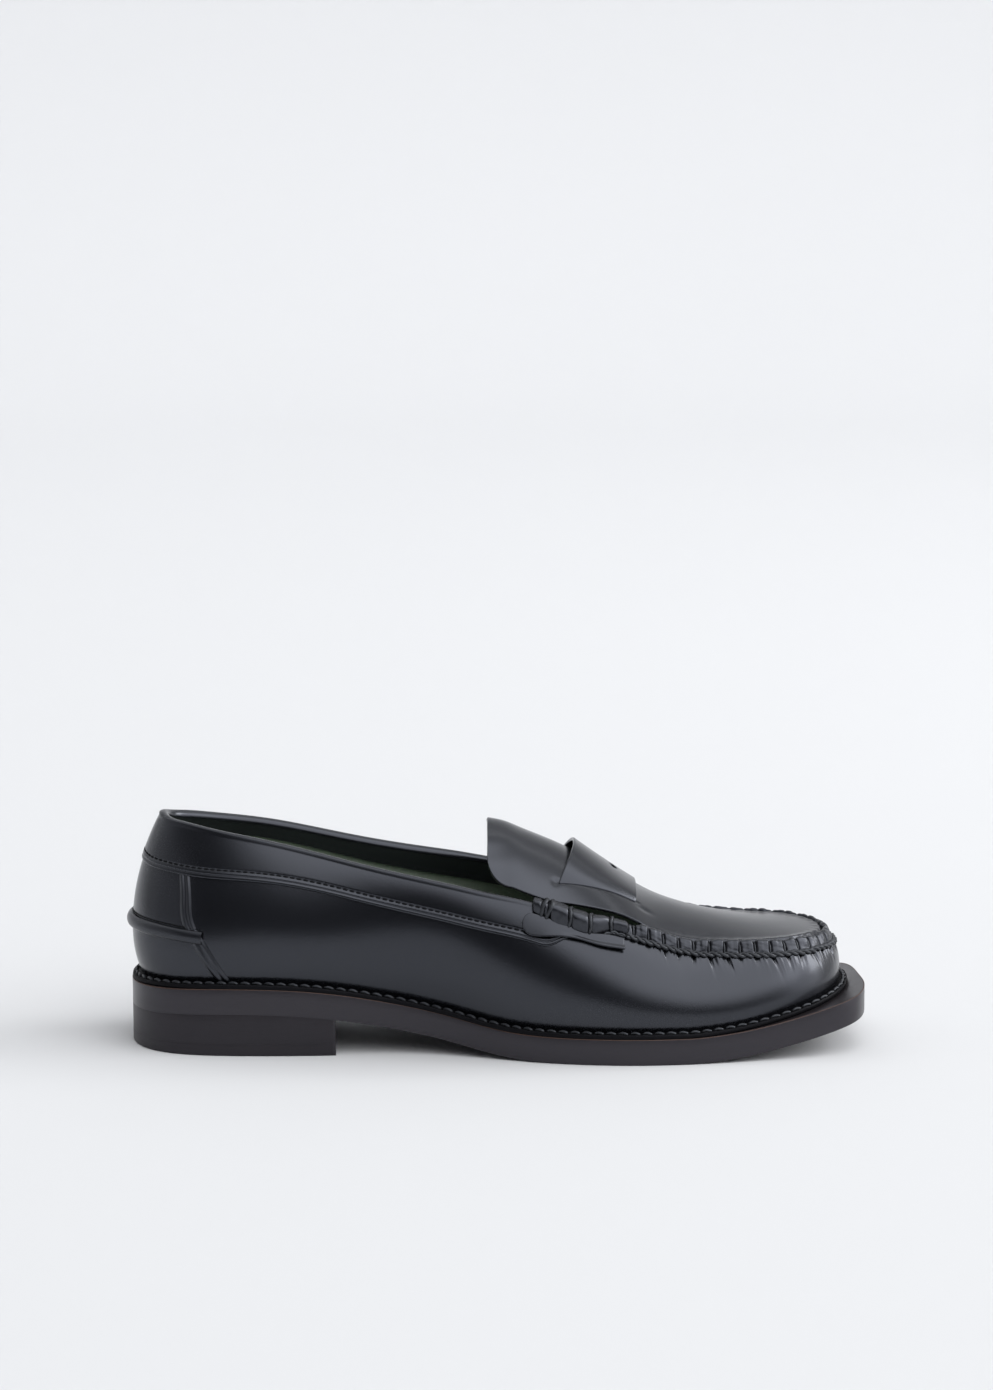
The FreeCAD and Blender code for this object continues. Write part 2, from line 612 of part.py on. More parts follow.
def heel_trims():
    """The bead across the back, and the strip that covers each side seam."""
    half = BEAD_HEIGHT / 2 / (round_the_shoe(2)[6] * GZ)
    station_long = (wall_point(3, 0.4) - wall_point(2, 0.4)).Length
    bead = wall_patch(
        lambda f: (seam_station(bead_level(3), True) - COUNT + BEAD_END_CLEAR,
                   seam_station(bead_level(3), False) - BEAD_END_CLEAR),
        lambda t: (bead_level(abs(t)) - half, bead_level(abs(t)) + half),
        crowned(BEAD_PROUD), 26, 7)
    strips = {}
    for name, inner in (("side_seam_strip_outer", False), ("side_seam_strip_inner", True)):
        grids = []
        for outside in (True, False):
            grid = []
            for f in spread(SEAM_STRIP_FOOT, SEAM_STRIP_TOP, 16):
                line = []
                for b in spread(0, 1, 5):
                    t = seam_station(f, inner)
                    width = (b - 0.5) * SEAM_STRIP_WIDTH / station_long
                    top = LAYER_GAP + 0.2 + SEAM_STRIP_PROUD * math.sin(math.pi * b)
                    line.append(wall(t + width, f, top if outside else LAYER_GAP))
                grid.append(line)
            grids.append(grid)
        strips[name] = sheet_solid(*grids)
    return {"back_bead": bead, **strips}


# ---- Apron, tongue and strap ---------------------------------------------------------------------
def plug_point(x, y):
    """The outer face of the apron and tongue."""
    return V(x, y, sole_top(x) + crest_height(x) - arch(x) * (y - CREST_SHIFT) ** 2)


def plug(x, y, out):
    dx = plug_point(x + 0.2, y) - plug_point(x - 0.2, y)
    dy = plug_point(x, y + 0.2) - plug_point(x, y - 0.2)
    normal = dx.cross(dy)
    normal.normalize()
    return plug_point(x, y) + normal * out


def plug_sheet(x0, x1, half, low, high, nx, ny):
    """A sheet of the apron and tongue leather between two offsets, to be trimmed in plan."""
    grids = [[[plug(x, y, o(x, y)) for y in spread(-half, half, ny)] for x in spread(x0, x1, nx)]
             for o in (high, low)]
    return sheet_solid(*grids)


def apron_edge(t):
    return edge_point(t, 4, LIP_OUT - LIP_THICK - LIP_LEAN - APRON_GAP)


def apron():
    """The plug: its seamed edge follows the lip, and behind that it is free above the rolls."""
    seam_from, seam_to = ROLL_END + 0.15, COUNT - ROLL_END - 0.15
    seamed = [apron_edge(t) for t in spread(seam_from, seam_to, 60)]
    x_rear, x_front = TONGUE_HINGE * GX + BUTT_GAP, seamed[0][0] - 1.0
    free_out = [(x, -tongue_edge(x)) for x in spread(x_rear, x_front, 14)]
    free_in = [(x, tongue_edge(x) - INNER_NARROWER)
               for x in spread(seamed[-1][0] - 1.0, x_rear, 14)]
    curve = Part.BSplineCurve()
    curve.interpolate([V(x, y, -20) for x, y in free_out + seamed + free_in])
    closing = Part.makeLine(V(*free_in[-1], -20), V(*free_out[0], -20))
    trim = Part.Face(Part.Wire([curve.toShape(), closing])).extrude(V(0, 0, 180))
    sheet = plug_sheet(x_rear - 3, 266.0 * GX, 36.0 * GY, lambda x, y: -APRON_THICK,
                       lambda x, y: 0.0, 44, 17)
    return sheet.common(trim)


def tongue():
    """The free end of the plug, with rounded rear corners."""
    x_front, x_rear = TONGUE_HINGE * GX - BUTT_GAP, TONGUE_START * GX
    corner = TONGUE_CORNER
    points = []
    for x in spread(x_front, x_rear + corner, 5):
        points.append((x, -tongue_edge(x)))
    edge = tongue_edge(x_rear + corner)
    for angle in spread(0, 90, 9)[1:]:
        a = math.radians(angle)
        points.append((x_rear + corner * (1 - math.sin(a)), -(edge - corner + corner * math.cos(a))))
    points += [(x, -y - INNER_NARROWER) for x, y in reversed(points)]
    curve = Part.BSplineCurve()
    curve.interpolate([V(x, y, -20) for x, y in points])
    closing = Part.makeLine(V(*points[-1], -20), V(*points[0], -20))
    trim = Part.Face(Part.Wire([curve.toShape(), closing])).extrude(V(0, 0, 180))
    sheet = plug_sheet(x_rear - 3, x_front + 3, 34.0 * GY, lambda x, y: -APRON_THICK,
                       lambda x, y: 0.0, 14, 17)
    return sheet.common(trim)


STRAP_REAR_CREST, STRAP_REAR_EDGE, STRAP_FRONT = 164.6, 160.3, 188.4
STRAP_HALF_REAR, STRAP_HALF_FRONT = 24.5, 18.7


def strap_lift(x, y):
    """Gap under the strap: arched high at its rear edge, none at its front and sides."""
    rear, front = STRAP_REAR_CREST * GX, STRAP_FRONT * GX
    back = min(1.0, max(0.0, (front - x) / (front - rear)))
    half = lerp(STRAP_HALF_FRONT, STRAP_HALF_REAR, back) * GY
    side = max(0.0, 1 - ((y - CREST_SHIFT) / half) ** 2)
    return LAYER_GAP + (0.25 * back + 0.75 * back ** 3) * STRAP_ARCH * math.sqrt(side + 1e-6)


def penny_strap():
    """The strap over the tongue, cut with a lens-shaped slot on its crest."""
    grids = []
    for thick in (STRAP_THICK, 0.0):
        grid = []
        for a in spread(0, 1, 15):
            line = []
            for b in spread(-1, 1, 21):
                rear = lerp(STRAP_REAR_CREST, STRAP_REAR_EDGE, b * b) * GX
                x = lerp(rear, STRAP_FRONT * GX, a)
                y = b * lerp(STRAP_HALF_REAR, STRAP_HALF_FRONT, a) * GY + CREST_SHIFT * (1 - b * b)
                line.append(plug(x, y, strap_lift(x, y) + thick))
            grid.append(line)
        grids.append(grid)
    body = sheet_solid(*grids)
    half, sag = SLOT_ACROSS / 2, SLOT_LONG / 2
    centre_x = SLOT_X * GX
    tips = V(centre_x, SLOT_Y - half, 20), V(centre_x, SLOT_Y + half, 20)
    arcs = [Part.Arc(tips[0], V(centre_x + s, SLOT_Y, 20), tips[1]).toShape()
            for s in (sag, -sag)]
    lens = Part.Face(Part.Wire(arcs)).extrude(V(0, 0, 90))
    return body.cut(lens)


# ---- Seam lip, rolls and threads -----------------------------------------------------------------
def lip():
    """The vamp's gathered edge, standing up round the apron from roll to roll."""
    grids = []
    for reach in (0.0, LIP_THICK):
        grid = []
        for t in spread(ROLL_END + 0.12, COUNT - ROLL_END - 0.12, 80):
            row = round_the_shoe(t)
            top = sole_top(row[2] * GX) + row[6] * GZ
            line = []
            for f in spread(0, 1, 5):
                x, y = edge_point(t, 4, LIP_OUT - LIP_LEAN * f - reach)
                line.append(V(x, y, top + lerp(-LIP_ROOT, LIP_HEIGHT, f)))
            grid.append(line)
        grids.append(grid)
    return sheet_solid(*grids)


def roll_radius(u):
    """Thick behind, thinner to the front, with a rounded rear end."""
    return ROLL_RADIUS * (0.55 + 0.45 * smooth(0.0, 0.14, u)) * (1 - 0.52 * smooth(0.45, 1.0, u))


def roll_centre(t, inner):
    x, y = edge_point(mirror_station(t, inner), 4, ROLL_RADIUS + 2 * ROLL_THREAD - ROLL_INSIDE)
    row = round_the_shoe(mirror_station(t, inner))
    return V(x, y, sole_top(row[2] * GX) + row[6] * GZ)


def roll(inner, grow):
    us = spread(0, 1, 12)
    path = [roll_centre(lerp(ROLL_START, ROLL_END, u), inner) for u in us]
    return tube(path, [roll_radius(u) + grow for u in us])


def binding(inner):
    """Waxed thread wound round the roll in bands."""
    rings = []
    for u in WINDINGS:
        t = lerp(ROLL_START, ROLL_END, u)
        p = roll_centre(t, inner)
        direction = roll_centre(t + 0.05, inner) - roll_centre(t - 0.05, inner)
        for turn in (-ROLL_THREAD, ROLL_THREAD):
            shift = V(direction)
            shift.normalize()
            big = max(roll_radius(u + s * 0.03) for s in (-1, 0, 1)) + ROLL_THREAD + BINDING_GAP
            rings.append(Part.makeTorus(big, ROLL_THREAD, p + shift * turn, direction))
    return Part.makeCompound(rings)


def roll_tab(inner):
    """Tail of the roll's leather lying on the collar, rounded behind and cut square in front."""
    low = open_spline([(146.6, 6.0), (148.2, 9.6), (151.0, 10.4), (156.0, 9.8), (162.0, 9.0),
                       (170.0, 8.6), (183.0, 7.2)])
    grids = []
    base = STRIP_THICK + 3 * LAYER_GAP
    for out in (base + TAB_THICK, base):
        grid = []
        for x in spread(TAB_START, TAB_END, 18):
            t = station_at(x * GX, 0.9, inner)
            full = round_the_shoe(t)[6] * GZ
            line = [wall(t, 1 - lerp(TAB_TOP, low(x), b) / full, out) for b in spread(0, 1, 5)]
            grid.append(line)
        grids.append(grid)
    return sheet_solid(*grids)


def threads():
    """Apron thread, welt thread and collar thread, each laid as one cord."""
    def on_wall(t, f, out):
        place = wall(t, f, out)
        up = wall(t, f, out + 1) - place
        across = wall(t, f + 0.01, out) - wall(t, f - 0.01, out)
        across.normalize()
        return place, up, across

    def apron_seat(t):
        return on_wall(t, 1 - APRON_THREAD_DROP / (round_the_shoe(t)[6] * GZ), LAYER_GAP)

    def welt_seat(t):
        out = WELT_GAP + WELT_WIDTH * WELT_THREAD_LINE
        x, y = edge_point(t, 2, out)
        farther = V(*edge_point(t, 2, out + 1), 0)
        return (V(x, y, sole_top(x) + WELT_THICK + LAYER_GAP), V(0, 0, 1), V(x, y, 0) - farther)

    def collar_seat(t):
        f = strip_foot(t) + COLLAR_THREAD_RISE / (round_the_shoe(t)[6] * GZ)
        return on_wall(t, f, STRIP_THICK + 2 * LAYER_GAP)
    return {
        "apron_thread": laid_cord(apron_seat, spread(ROLL_END + 0.2, COUNT - ROLL_END - 0.2, 90),
                                  APRON_THREAD_RADIUS),
        "welt_thread": laid_cord(welt_seat, spread(0.1, COUNT - 0.1, 200), THREAD_RADIUS),
        "collar_thread": laid_cord(collar_seat, spread(0.2 - ROLL_START, ROLL_START - 0.2, 90),
                                   COLLAR_THREAD_RADIUS)}


# ---- Assembly ------------------------------------------------------------------------------------
def build():
    pieces = {}
    pieces.update(bottom_pieces())
    pieces.update(heel_pieces())
    pieces.update(inner_bottom())
    pieces.update(wall_pieces())
    pieces.update(lining_pieces())
    pieces.update(collar_strip())
    pieces.update(heel_trims())
    pieces["apron"] = apron()
    pieces["tongue"] = tongue()
    pieces["penny_strap"] = penny_strap()
    pieces.update(threads())
    for side, inner in (("outer", False), ("inner", True)):
        seat = roll(inner, 2 * ROLL_THREAD + BINDING_GAP + FIT_CLEARANCE)
        for name in ("vamp", "quarter_lining", "vamp_lining", "collar_strip"):
            pieces[name] = pieces[name].cut(seat)
        pieces["roll_tab_" + side] = roll_tab(inner).cut(seat)
        pieces["beef_roll_" + side] = roll(inner, 0.0)
        pieces["roll_binding_" + side] = binding(inner)
    pieces["vamp"] = pieces["vamp"].fuse(lip())
    return pieces


def report(name, shape):
    solids = shape.Solids
    volume = sum(s.Volume for s in solids)
    print("%-24s solids %2d valid %-5s volume %9.1f" % (name, len(solids), shape.isValid(), volume))


def main():
    pieces = build()
    box = FreeCAD.BoundBox()
    for shape in pieces.values():
        box.add(shape.BoundBox)
    shift = V(-box.Center.x, -box.Center.y, -box.ZMin)
    os.makedirs("parts", exist_ok=True)
    for name, shape in pieces.items():
        shape.translate(shift)
        report(name, shape)
        shape.exportStep("parts/%s.step" % name)
    hinge = plug_point(TONGUE_HINGE * GX, CREST_SHIFT) + shift
    print("tongue hinge", [round(c, 2) for c in hinge], "shift", [round(c, 2) for c in shift])
    print("size", round(box.XLength, 1), round(box.YLength, 1), round(box.ZLength, 1))


main()
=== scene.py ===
import math

import bmesh
import bpy
import numpy as np
from bpy.props import FloatProperty, FloatVectorProperty, PointerProperty
from mathutils import Matrix, Vector


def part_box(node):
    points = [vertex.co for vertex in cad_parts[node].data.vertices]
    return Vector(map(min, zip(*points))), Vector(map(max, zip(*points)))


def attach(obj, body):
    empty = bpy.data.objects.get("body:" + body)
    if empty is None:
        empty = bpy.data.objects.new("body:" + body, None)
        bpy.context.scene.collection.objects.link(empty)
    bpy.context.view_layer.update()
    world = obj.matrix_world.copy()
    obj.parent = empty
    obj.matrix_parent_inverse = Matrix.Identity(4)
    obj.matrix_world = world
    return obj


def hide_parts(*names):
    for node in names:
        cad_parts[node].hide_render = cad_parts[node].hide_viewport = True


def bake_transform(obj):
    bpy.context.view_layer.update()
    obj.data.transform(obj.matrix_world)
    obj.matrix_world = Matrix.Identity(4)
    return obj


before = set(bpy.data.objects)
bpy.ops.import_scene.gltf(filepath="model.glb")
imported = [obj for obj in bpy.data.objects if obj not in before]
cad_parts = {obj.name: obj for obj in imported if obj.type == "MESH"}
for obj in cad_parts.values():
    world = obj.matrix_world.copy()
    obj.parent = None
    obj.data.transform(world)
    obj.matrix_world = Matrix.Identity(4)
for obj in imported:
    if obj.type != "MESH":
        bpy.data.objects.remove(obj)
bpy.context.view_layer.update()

bl_info = {
    "name": "Penny Loafer",
    "version": (1, 0, 0),
    "blender": (4, 5, 0),
    "location": "View3D > Sidebar > Loafer",
    "description": "Builds a hand-sewn penny loafer on its fixed frame, with its studio",
    "category": "Object",
}

MM = 0.001

# ---- The last: one row per station round the shoe, in millimetres from the heel's back ----------
# sole edge x y, feather line x y, top line x y, top line's height above the sole, belly, shoulder
STATIONS = [
    (0.0, 0.0, 4.5, 0.0, 12.5, 0.0, 62.0, 10.0, 7.3),
    (3.2, -14.5, 7.2, -12.0, 15.5, -7.5, 60.6, 10.0, 7.0),
    (13.0, -26.0, 16.0, -21.8, 23.0, -12.6, 58.9, 9.5, 6.5),
    (30.0, -31.8, 31.0, -27.4, 36.0, -17.9, 56.1, 9.0, 6.0),
    (55.0, -33.2, 55.0, -28.9, 56.0, -21.6, 52.7, 8.5, 6.0),
    (82.0, -32.3, 82.0, -28.0, 82.0, -24.0, 48.9, 8.5, 6.0),
    (108.0, -31.8, 108.0, -27.8, 108.0, -27.6, 48.1, 9.0, 6.5),
    (130.0, -37.0, 130.0, -32.8, 130.0, -31.3, 48.6, 8.5, 7.0),
    (150.0, -44.0, 150.0, -39.5, 150.0, -33.3, 47.1, 7.5, 7.5),
    (170.0, -48.4, 170.0, -43.9, 168.0, -34.6, 41.2, 6.8, 8.0),
    (190.0, -49.8, 189.0, -45.4, 186.0, -34.6, 35.7, 6.5, 8.0),
    (210.0, -48.0, 208.0, -43.6, 204.0, -33.0, 30.0, 6.0, 7.5),
    (230.0, -44.5, 226.0, -39.8, 221.0, -31.0, 26.3, 5.2, 6.5),
    (248.0, -40.5, 241.5, -34.4, 237.0, -28.6, 23.0, 4.2, 5.5),
    (262.0, -36.3, 253.0, -27.6, 249.5, -23.6, 20.2, 3.4, 4.5),
    (271.0, -29.5, 260.5, -18.5, 258.0, -15.0, 18.1, 2.8, 3.6),
    (274.0, -15.0, 263.6, -9.0, 261.8, -7.5, 17.1, 2.5, 3.0),
    (273.3, 0.0, 264.3, 0.0, 262.8, 0.0, 16.9, 2.5, 3.0),
    (271.9, 15.0, 263.4, 9.5, 261.6, 8.0, 17.3, 2.5, 3.0),
    (267.5, 27.3, 259.5, 19.0, 257.5, 15.5, 18.6, 2.8, 3.6),
    (258.0, 34.0, 251.0, 28.0, 248.5, 23.5, 20.9, 3.4, 4.5),
    (244.0, 38.0, 238.5, 33.8, 235.5, 28.0, 23.8, 4.2, 5.5),
    (226.0, 42.0, 222.5, 38.4, 219.5, 30.0, 27.2, 5.2, 6.5),
    (206.0, 45.6, 204.5, 41.8, 202.0, 31.8, 31.2, 6.0, 7.5),
    (186.0, 47.3, 185.0, 43.3, 184.0, 33.4, 36.8, 6.5, 8.0),
    (166.0, 46.5, 166.0, 42.0, 166.0, 33.6, 42.4, 6.8, 8.0),
    (146.0, 42.0, 146.0, 37.5, 149.0, 32.6, 47.8, 7.5, 7.5),
    (126.0, 35.0, 126.0, 31.0, 129.5, 31.0, 48.9, 8.5, 7.0),
    (104.0, 30.3, 104.0, 26.6, 107.5, 27.6, 48.3, 9.0, 6.5),
    (79.0, 31.0, 79.0, 27.2, 81.5, 24.0, 49.1, 8.5, 6.0),
    (53.0, 32.8, 53.0, 28.6, 55.5, 21.6, 52.8, 8.5, 6.0),
    (29.0, 31.6, 30.0, 27.2, 36.0, 17.9, 56.1, 9.0, 6.0),
    (12.5, 26.0, 15.5, 21.6, 23.0, 12.6, 58.9, 9.5, 6.5),
    (3.0, 14.5, 7.0, 12.0, 15.5, 7.5, 60.6, 10.0, 7.0),
]
COUNT = len(STATIONS)
TOE = 17.0
SEAM_START = 10.12  # station where the gathered seam leaves the roll
BELLY_LEVEL, SHOULDER_LEVEL = 0.30, 0.82
HEEL_REAR, HEEL_BREAST, HEEL_LENGTH = 14.3, 13.3, 77.5
OUTSOLE, MIDSOLE = 5.2, 4.4
TOP_PIECE = 4.6
LEATHER = 1.3
CREST_Y = 1.5

UNDERSIDE = [(0.0, HEEL_REAR), (78.1, HEEL_BREAST), (98.6, 9.78), (120.6, 5.19), (137.0, 1.73),
             (153.4, 0.27), (180.8, 0.0), (211.0, 0.13), (235.6, 3.28), (249.3, 6.3), (263.0, 9.92),
             (274.0, 13.4)]
CREST = [(128.0, 70.4), (141.0, 69.6), (149.0, 67.3), (161.0, 62.6), (171.0, 57.6), (181.0, 52.0),
         (192.0, 45.3), (203.0, 40.8), (214.0, 37.4), (235.0, 30.8), (255.0, 24.1), (266.0, 19.0)]
ARCH = [(128.0, 0.0215), (138.0, 0.0213), (148.0, 0.0185), (157.0, 0.0170), (166.0, 0.0139),
        (176.0, 0.0101), (184.0, 0.0074), (190.0, 0.0066), (197.0, 0.0076), (205.0, 0.0079),
        (219.0, 0.0063), (234.0, 0.0038), (250.0, 0.0020), (266.0, 0.0010)]
FLAP_EDGE = [(128.0, 23.5), (138.0, 26.6), (148.0, 29.0), (160.0, 29.6), (175.0, 29.9),
             (190.0, 30.2), (200.0, 30.0)]
FLAP_START, FLAP_CORNER, FLAP_CORNER_WIDE, INNER_NARROWER = 133.8, 9.0, 7.5, 1.8
SIDE_SEAM = [(0.0, 38.0), (0.17, 31.5), (0.32, 26.4), (0.42, 23.3), (0.57, 22.3), (0.75, 21.6),
             (1.0, 21.0)]
BEAD = [(0.0, 0.355), (1.0, 0.360), (2.0, 0.350), (3.0, 0.330)]


# ---- Curves --------------------------------------------------------------------------------------
def closed_spline(rows):
    rows = np.array(rows, float)
    knots = rows.copy()
    for _ in range(60):
        knots = (6 * rows - np.roll(knots, 1, 0) - np.roll(knots, -1, 0)) / 4

    def at(t):
        t = np.asarray(t, float)
        i = np.floor(t).astype(int)
        u = (t - i)[..., None]
        weights = ((1 - u) ** 3 / 6, (3 * u ** 3 - 6 * u * u + 4) / 6,
                   (-3 * u ** 3 + 3 * u * u + 3 * u + 1) / 6, u ** 3 / 6)
        return sum(w * knots[(i + j - 1) % COUNT] for j, w in enumerate(weights))
    return at


def natural_spline(points):
    x, y = np.array(points, float).T
    h = np.diff(x)
    n = len(x)
    system, pull = np.eye(n), np.zeros(n)
    for i in range(1, n - 1):
        system[i, i - 1:i + 2] = h[i - 1], 2 * (h[i - 1] + h[i]), h[i]
        pull[i] = 6 * ((y[i + 1] - y[i]) / h[i] - (y[i] - y[i - 1]) / h[i - 1])
    bend = np.linalg.solve(system, pull)

    def at(v):
        v = np.asarray(v, float)
        i = np.clip(np.searchsorted(x, v, "right") - 1, 0, n - 2)
        a, b = (x[i + 1] - v) / h[i], (v - x[i]) / h[i]
        inside = (a * y[i] + b * y[i + 1]
                  + ((a ** 3 - a) * bend[i] + (b ** 3 - b) * bend[i + 1]) * h[i] ** 2 / 6)
        slope0 = (y[1] - y[0]) / h[0] - h[0] * bend[1] / 6
        slope1 = (y[-1] - y[-2]) / h[-1] + h[-1] * bend[-2] / 6
        low, high = y[0] + (v - x[0]) * slope0, y[-1] + (v - x[-1]) * slope1
        return np.where(v < x[0], low, np.where(v > x[-1], high, inside))
    return at


def smooth(a, b, v):
    u = np.clip((v - a) / (b - a), 0, 1)
    return u * u * (3 - 2 * u)


def lerp(a, b, u):
    return a + (b - a) * u


def unit(v):
    return v / np.maximum(np.linalg.norm(v, axis=-1, keepdims=True), 1e-9)


def stack(*parts):
    return np.stack(np.broadcast_arrays(*parts), -1)


around = closed_spline(STATIONS)
underside = natural_spline(UNDERSIDE)
crest = natural_spline(CREST)
arch = natural_spline(ARCH)
flap_edge = natural_spline(FLAP_EDGE)
side_seam = natural_spline(SIDE_SEAM)
bead_level = natural_spline(BEAD)
_w = np.linspace(0, 1, 801)
_rise = 3 * _w * (1 - _w) ** 2 * BELLY_LEVEL + 3 * _w * _w * (1 - _w) * SHOULDER_LEVEL + _w ** 3


def sole_bottom(x):
    return np.maximum(0.0, underside(x))


def sole_top(x):
    return sole_bottom(x) + OUTSOLE + MIDSOLE


def edge_point(t, column, out=0.0):
    """Sole edge (0), feather line (2) or top line (4) in plan, moved outwards."""
    here = around(t)[..., column:column + 2]
    step = around(t + 0.03)[..., column:column + 2] - around(t - 0.03)[..., column:column + 2]
    step = unit(step)
    return here + stack(step[..., 1], -step[..., 0]) * np.asarray(out)[..., None]


def wall_point(t, f):
    row = around(t)
    feather, top = row[..., 2:4], row[..., 4:6]
    outward = edge_point(t, 2, 1.0) - feather
    w = np.interp(f, _rise, _w)[..., None]
    b = ((1 - w) ** 3, 3 * w * (1 - w) ** 2, 3 * w * w * (1 - w), w ** 3)
    plan = (b[0] * feather + b[1] * (feather + outward * row[..., 7:8])
            + b[2] * (top + outward * row[..., 8:9]) + b[3] * top)
    return stack(plan[..., 0], plan[..., 1], sole_top(feather[..., 0]) + row[..., 6] * f)


def wall(t, f, out=0.0):
    """A point of the upper's surface at station t and share f of its height, moved outwards."""
    t, f = np.broadcast_arrays(np.asarray(t, float), np.asarray(f, float))
    here = wall_point(t, f)
    along = wall_point(t + 0.04, f) - wall_point(t - 0.04, f)
    up = wall_point(t, np.minimum(1, f + 0.01)) - wall_point(t, np.maximum(0, f - 0.01))
    normal = unit(np.cross(up, along))
    outward = edge_point(t, 2, 1.0) - edge_point(t, 2, 0.0)
    facing = np.sign(normal[..., 0] * outward[..., 0] + normal[..., 1] * outward[..., 1])
    return here + normal * (facing * np.asarray(out))[..., None]


def plug_point(x, y):
    return stack(x, y, sole_top(x) + crest(x) - arch(x) * (y - CREST_Y) ** 2)


def plug(x, y, out=0.0):
    """A point of the apron's and tongue's surface, moved outwards."""
    dx = plug_point(x + 0.2, y) - plug_point(x - 0.2, y)
    dy = plug_point(x, y + 0.2) - plug_point(x, y - 0.2)
    return plug_point(x, y) + unit(np.cross(dx, dy)) * np.asarray(out)[..., None]


def height_of(t):
    return around(t)[..., 6]


def station_at(x, f, inner=False):
    ts = np.linspace(TOE, COUNT, 900) if inner else np.linspace(0, TOE, 900)
    xs = wall_point(ts, np.full_like(ts, f))[..., 0]
    return float(np.interp(x, xs[::-1], ts[::-1]) if inner else np.interp(x, xs, ts))


def seam_station(f, inner=False):
    f = np.atleast_1d(f)
    return np.array([station_at(float(side_seam(v)), float(v), inner) for v in f])


def swell(points, size, seed):
    """Slow random hills between about -1 and 1, size millimetres apart."""
    rng = np.random.default_rng(seed)
    total = np.zeros(points.shape[:-1])
    for _ in range(9):
        direction = rng.normal(size=3)
        direction /= np.linalg.norm(direction) * size * rng.uniform(0.7, 1.5)
        total += np.sin(points @ direction * 2 * math.pi + rng.uniform(0, 2 * math.pi))
    return total / 4.5


# ---- Fitting the pattern to the frame ------------------------------------------------------------
SOLE_BOX = [np.array(corner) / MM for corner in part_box("outsole")]
_edge = edge_point(np.linspace(0, COUNT, 2000), 0)
SHIFT = np.array([SOLE_BOX[0][0] - _edge[:, 0].min(), SOLE_BOX[0][1] - _edge[:, 1].min(), 0.0])


# ---- Meshes --------------------------------------------------------------------------------------
class Mesh:
    """Grids of points collected into one mesh."""

    def __init__(self):
        self.points, self.faces, self.total = [], [], 0

    def grid(self, g, around_u=False, around_v=False):
        nu, nv = g.shape[:2]
        index = np.arange(nu * nv).reshape(nu, nv) + self.total
        if around_u:
            index = np.vstack([index, index[:1]])
        if around_v:
            index = np.hstack([index, index[:, :1]])
        quads = np.stack([index[:-1, :-1], index[1:, :-1], index[1:, 1:], index[:-1, 1:]], -1)
        self.points.append(g.reshape(-1, 3))
        self.faces.append(quads.reshape(-1, 4))
        self.total += nu * nv
        return self

    def finish(self, name, material, replaced=(), body="shoe", slot=None, weld=0.002):
        points = (np.concatenate(self.points) + SHIFT) * MM
        mesh = bpy.data.meshes.new(name)
        mesh.from_pydata(points.tolist(), [], np.concatenate(self.faces).tolist())
        bm = bmesh.new()
        bm.from_mesh(mesh)
        bmesh.ops.remove_doubles(bm, verts=bm.verts, dist=weld * MM)
        bmesh.ops.dissolve_degenerate(bm, edges=bm.edges, dist=weld * MM * 0.1)
        bmesh.ops.recalc_face_normals(bm, faces=bm.faces)
        bm.to_mesh(mesh)
        bm.free()
        mesh.shade_smooth()
        mesh.materials.append(material)
        piece = bpy.data.objects.new(name, mesh)
        bpy.context.scene.collection.objects.link(piece)
        if replaced:
            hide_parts(*replaced)
        if body:
            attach(piece, body)
        return piece


def pillow(near, far, borders="uUvV", swell_out=0.42):
    """Both faces of a sheet of leather, with its edges rounded over at the named borders."""
    for axis, names in ((1, "vV"), (0, "uU")):
        n, f = np.moveaxis(near, axis, 0), np.moveaxis(far, axis, 0)

        def turn(a, b, i, j):
            out, step = unit(a[i] - a[j]), b[i] - a[i]
            thick = np.linalg.norm(step, axis=-1, keepdims=True)
            middle = (a[i] + b[i]) / 2 + unit(n[i] - n[j] + f[i] - f[j]) * thick * swell_out
            return [middle, a[i] + step * 0.14 + out * thick * swell_out * 0.64]
        lines = []
        for a, b in ((n, f), (f, n)):
            low = turn(a, b, 0, 1) if names[0] in borders else []
            high = turn(a, b, -1, -2)[::-1] if names[1] in borders else []
            lines.append(np.concatenate([np.array(low).reshape(-1, *a.shape[1:]), a,
                                         np.array(high).reshape(-1, *a.shape[1:])]))
        near, far = (np.moveaxis(g, 0, axis) for g in lines)
    return near, far


def cord(mesh, path, radius, sides=8, up=(0, 0, 1), ends=True, twist=0.0):
    """A round thread along a path, tapered to rounded ends."""
    path = np.asarray(path, float)
    n = len(path)
    along = unit(np.gradient(path, axis=0))
    side = unit(np.cross(along, np.broadcast_to(np.asarray(up, float), along.shape)))
    rise = np.cross(side, along)
    r = np.broadcast_to(np.asarray(radius, float), (n,)).copy()
    if ends:
        reach = np.concatenate([[0], np.cumsum(np.linalg.norm(np.diff(path, axis=0), axis=1))])
        left = np.minimum(reach, reach[-1] - reach)
        r = r * np.sqrt(np.clip(1 - (1 - np.clip(left / r, 0, 1)) ** 2, 0.0, 1)) + 1e-4
    angle = np.linspace(0, 2 * math.pi, sides, endpoint=False)
    lobes = 1 + 0.13 * np.cos(2 * angle[None, :] - twist * np.arange(n)[:, None]) * (twist != 0)
    ring = (side[:, None] * np.cos(angle)[None, :, None] + rise[:, None] * np.sin(angle)[None, :, None])
    mesh.grid(path[:, None] + ring * (r[:, None] * lobes)[..., None], around_v=True)


def arc_length(points):
    return np.concatenate([[0], np.cumsum(np.linalg.norm(np.diff(points, axis=0), axis=1))])


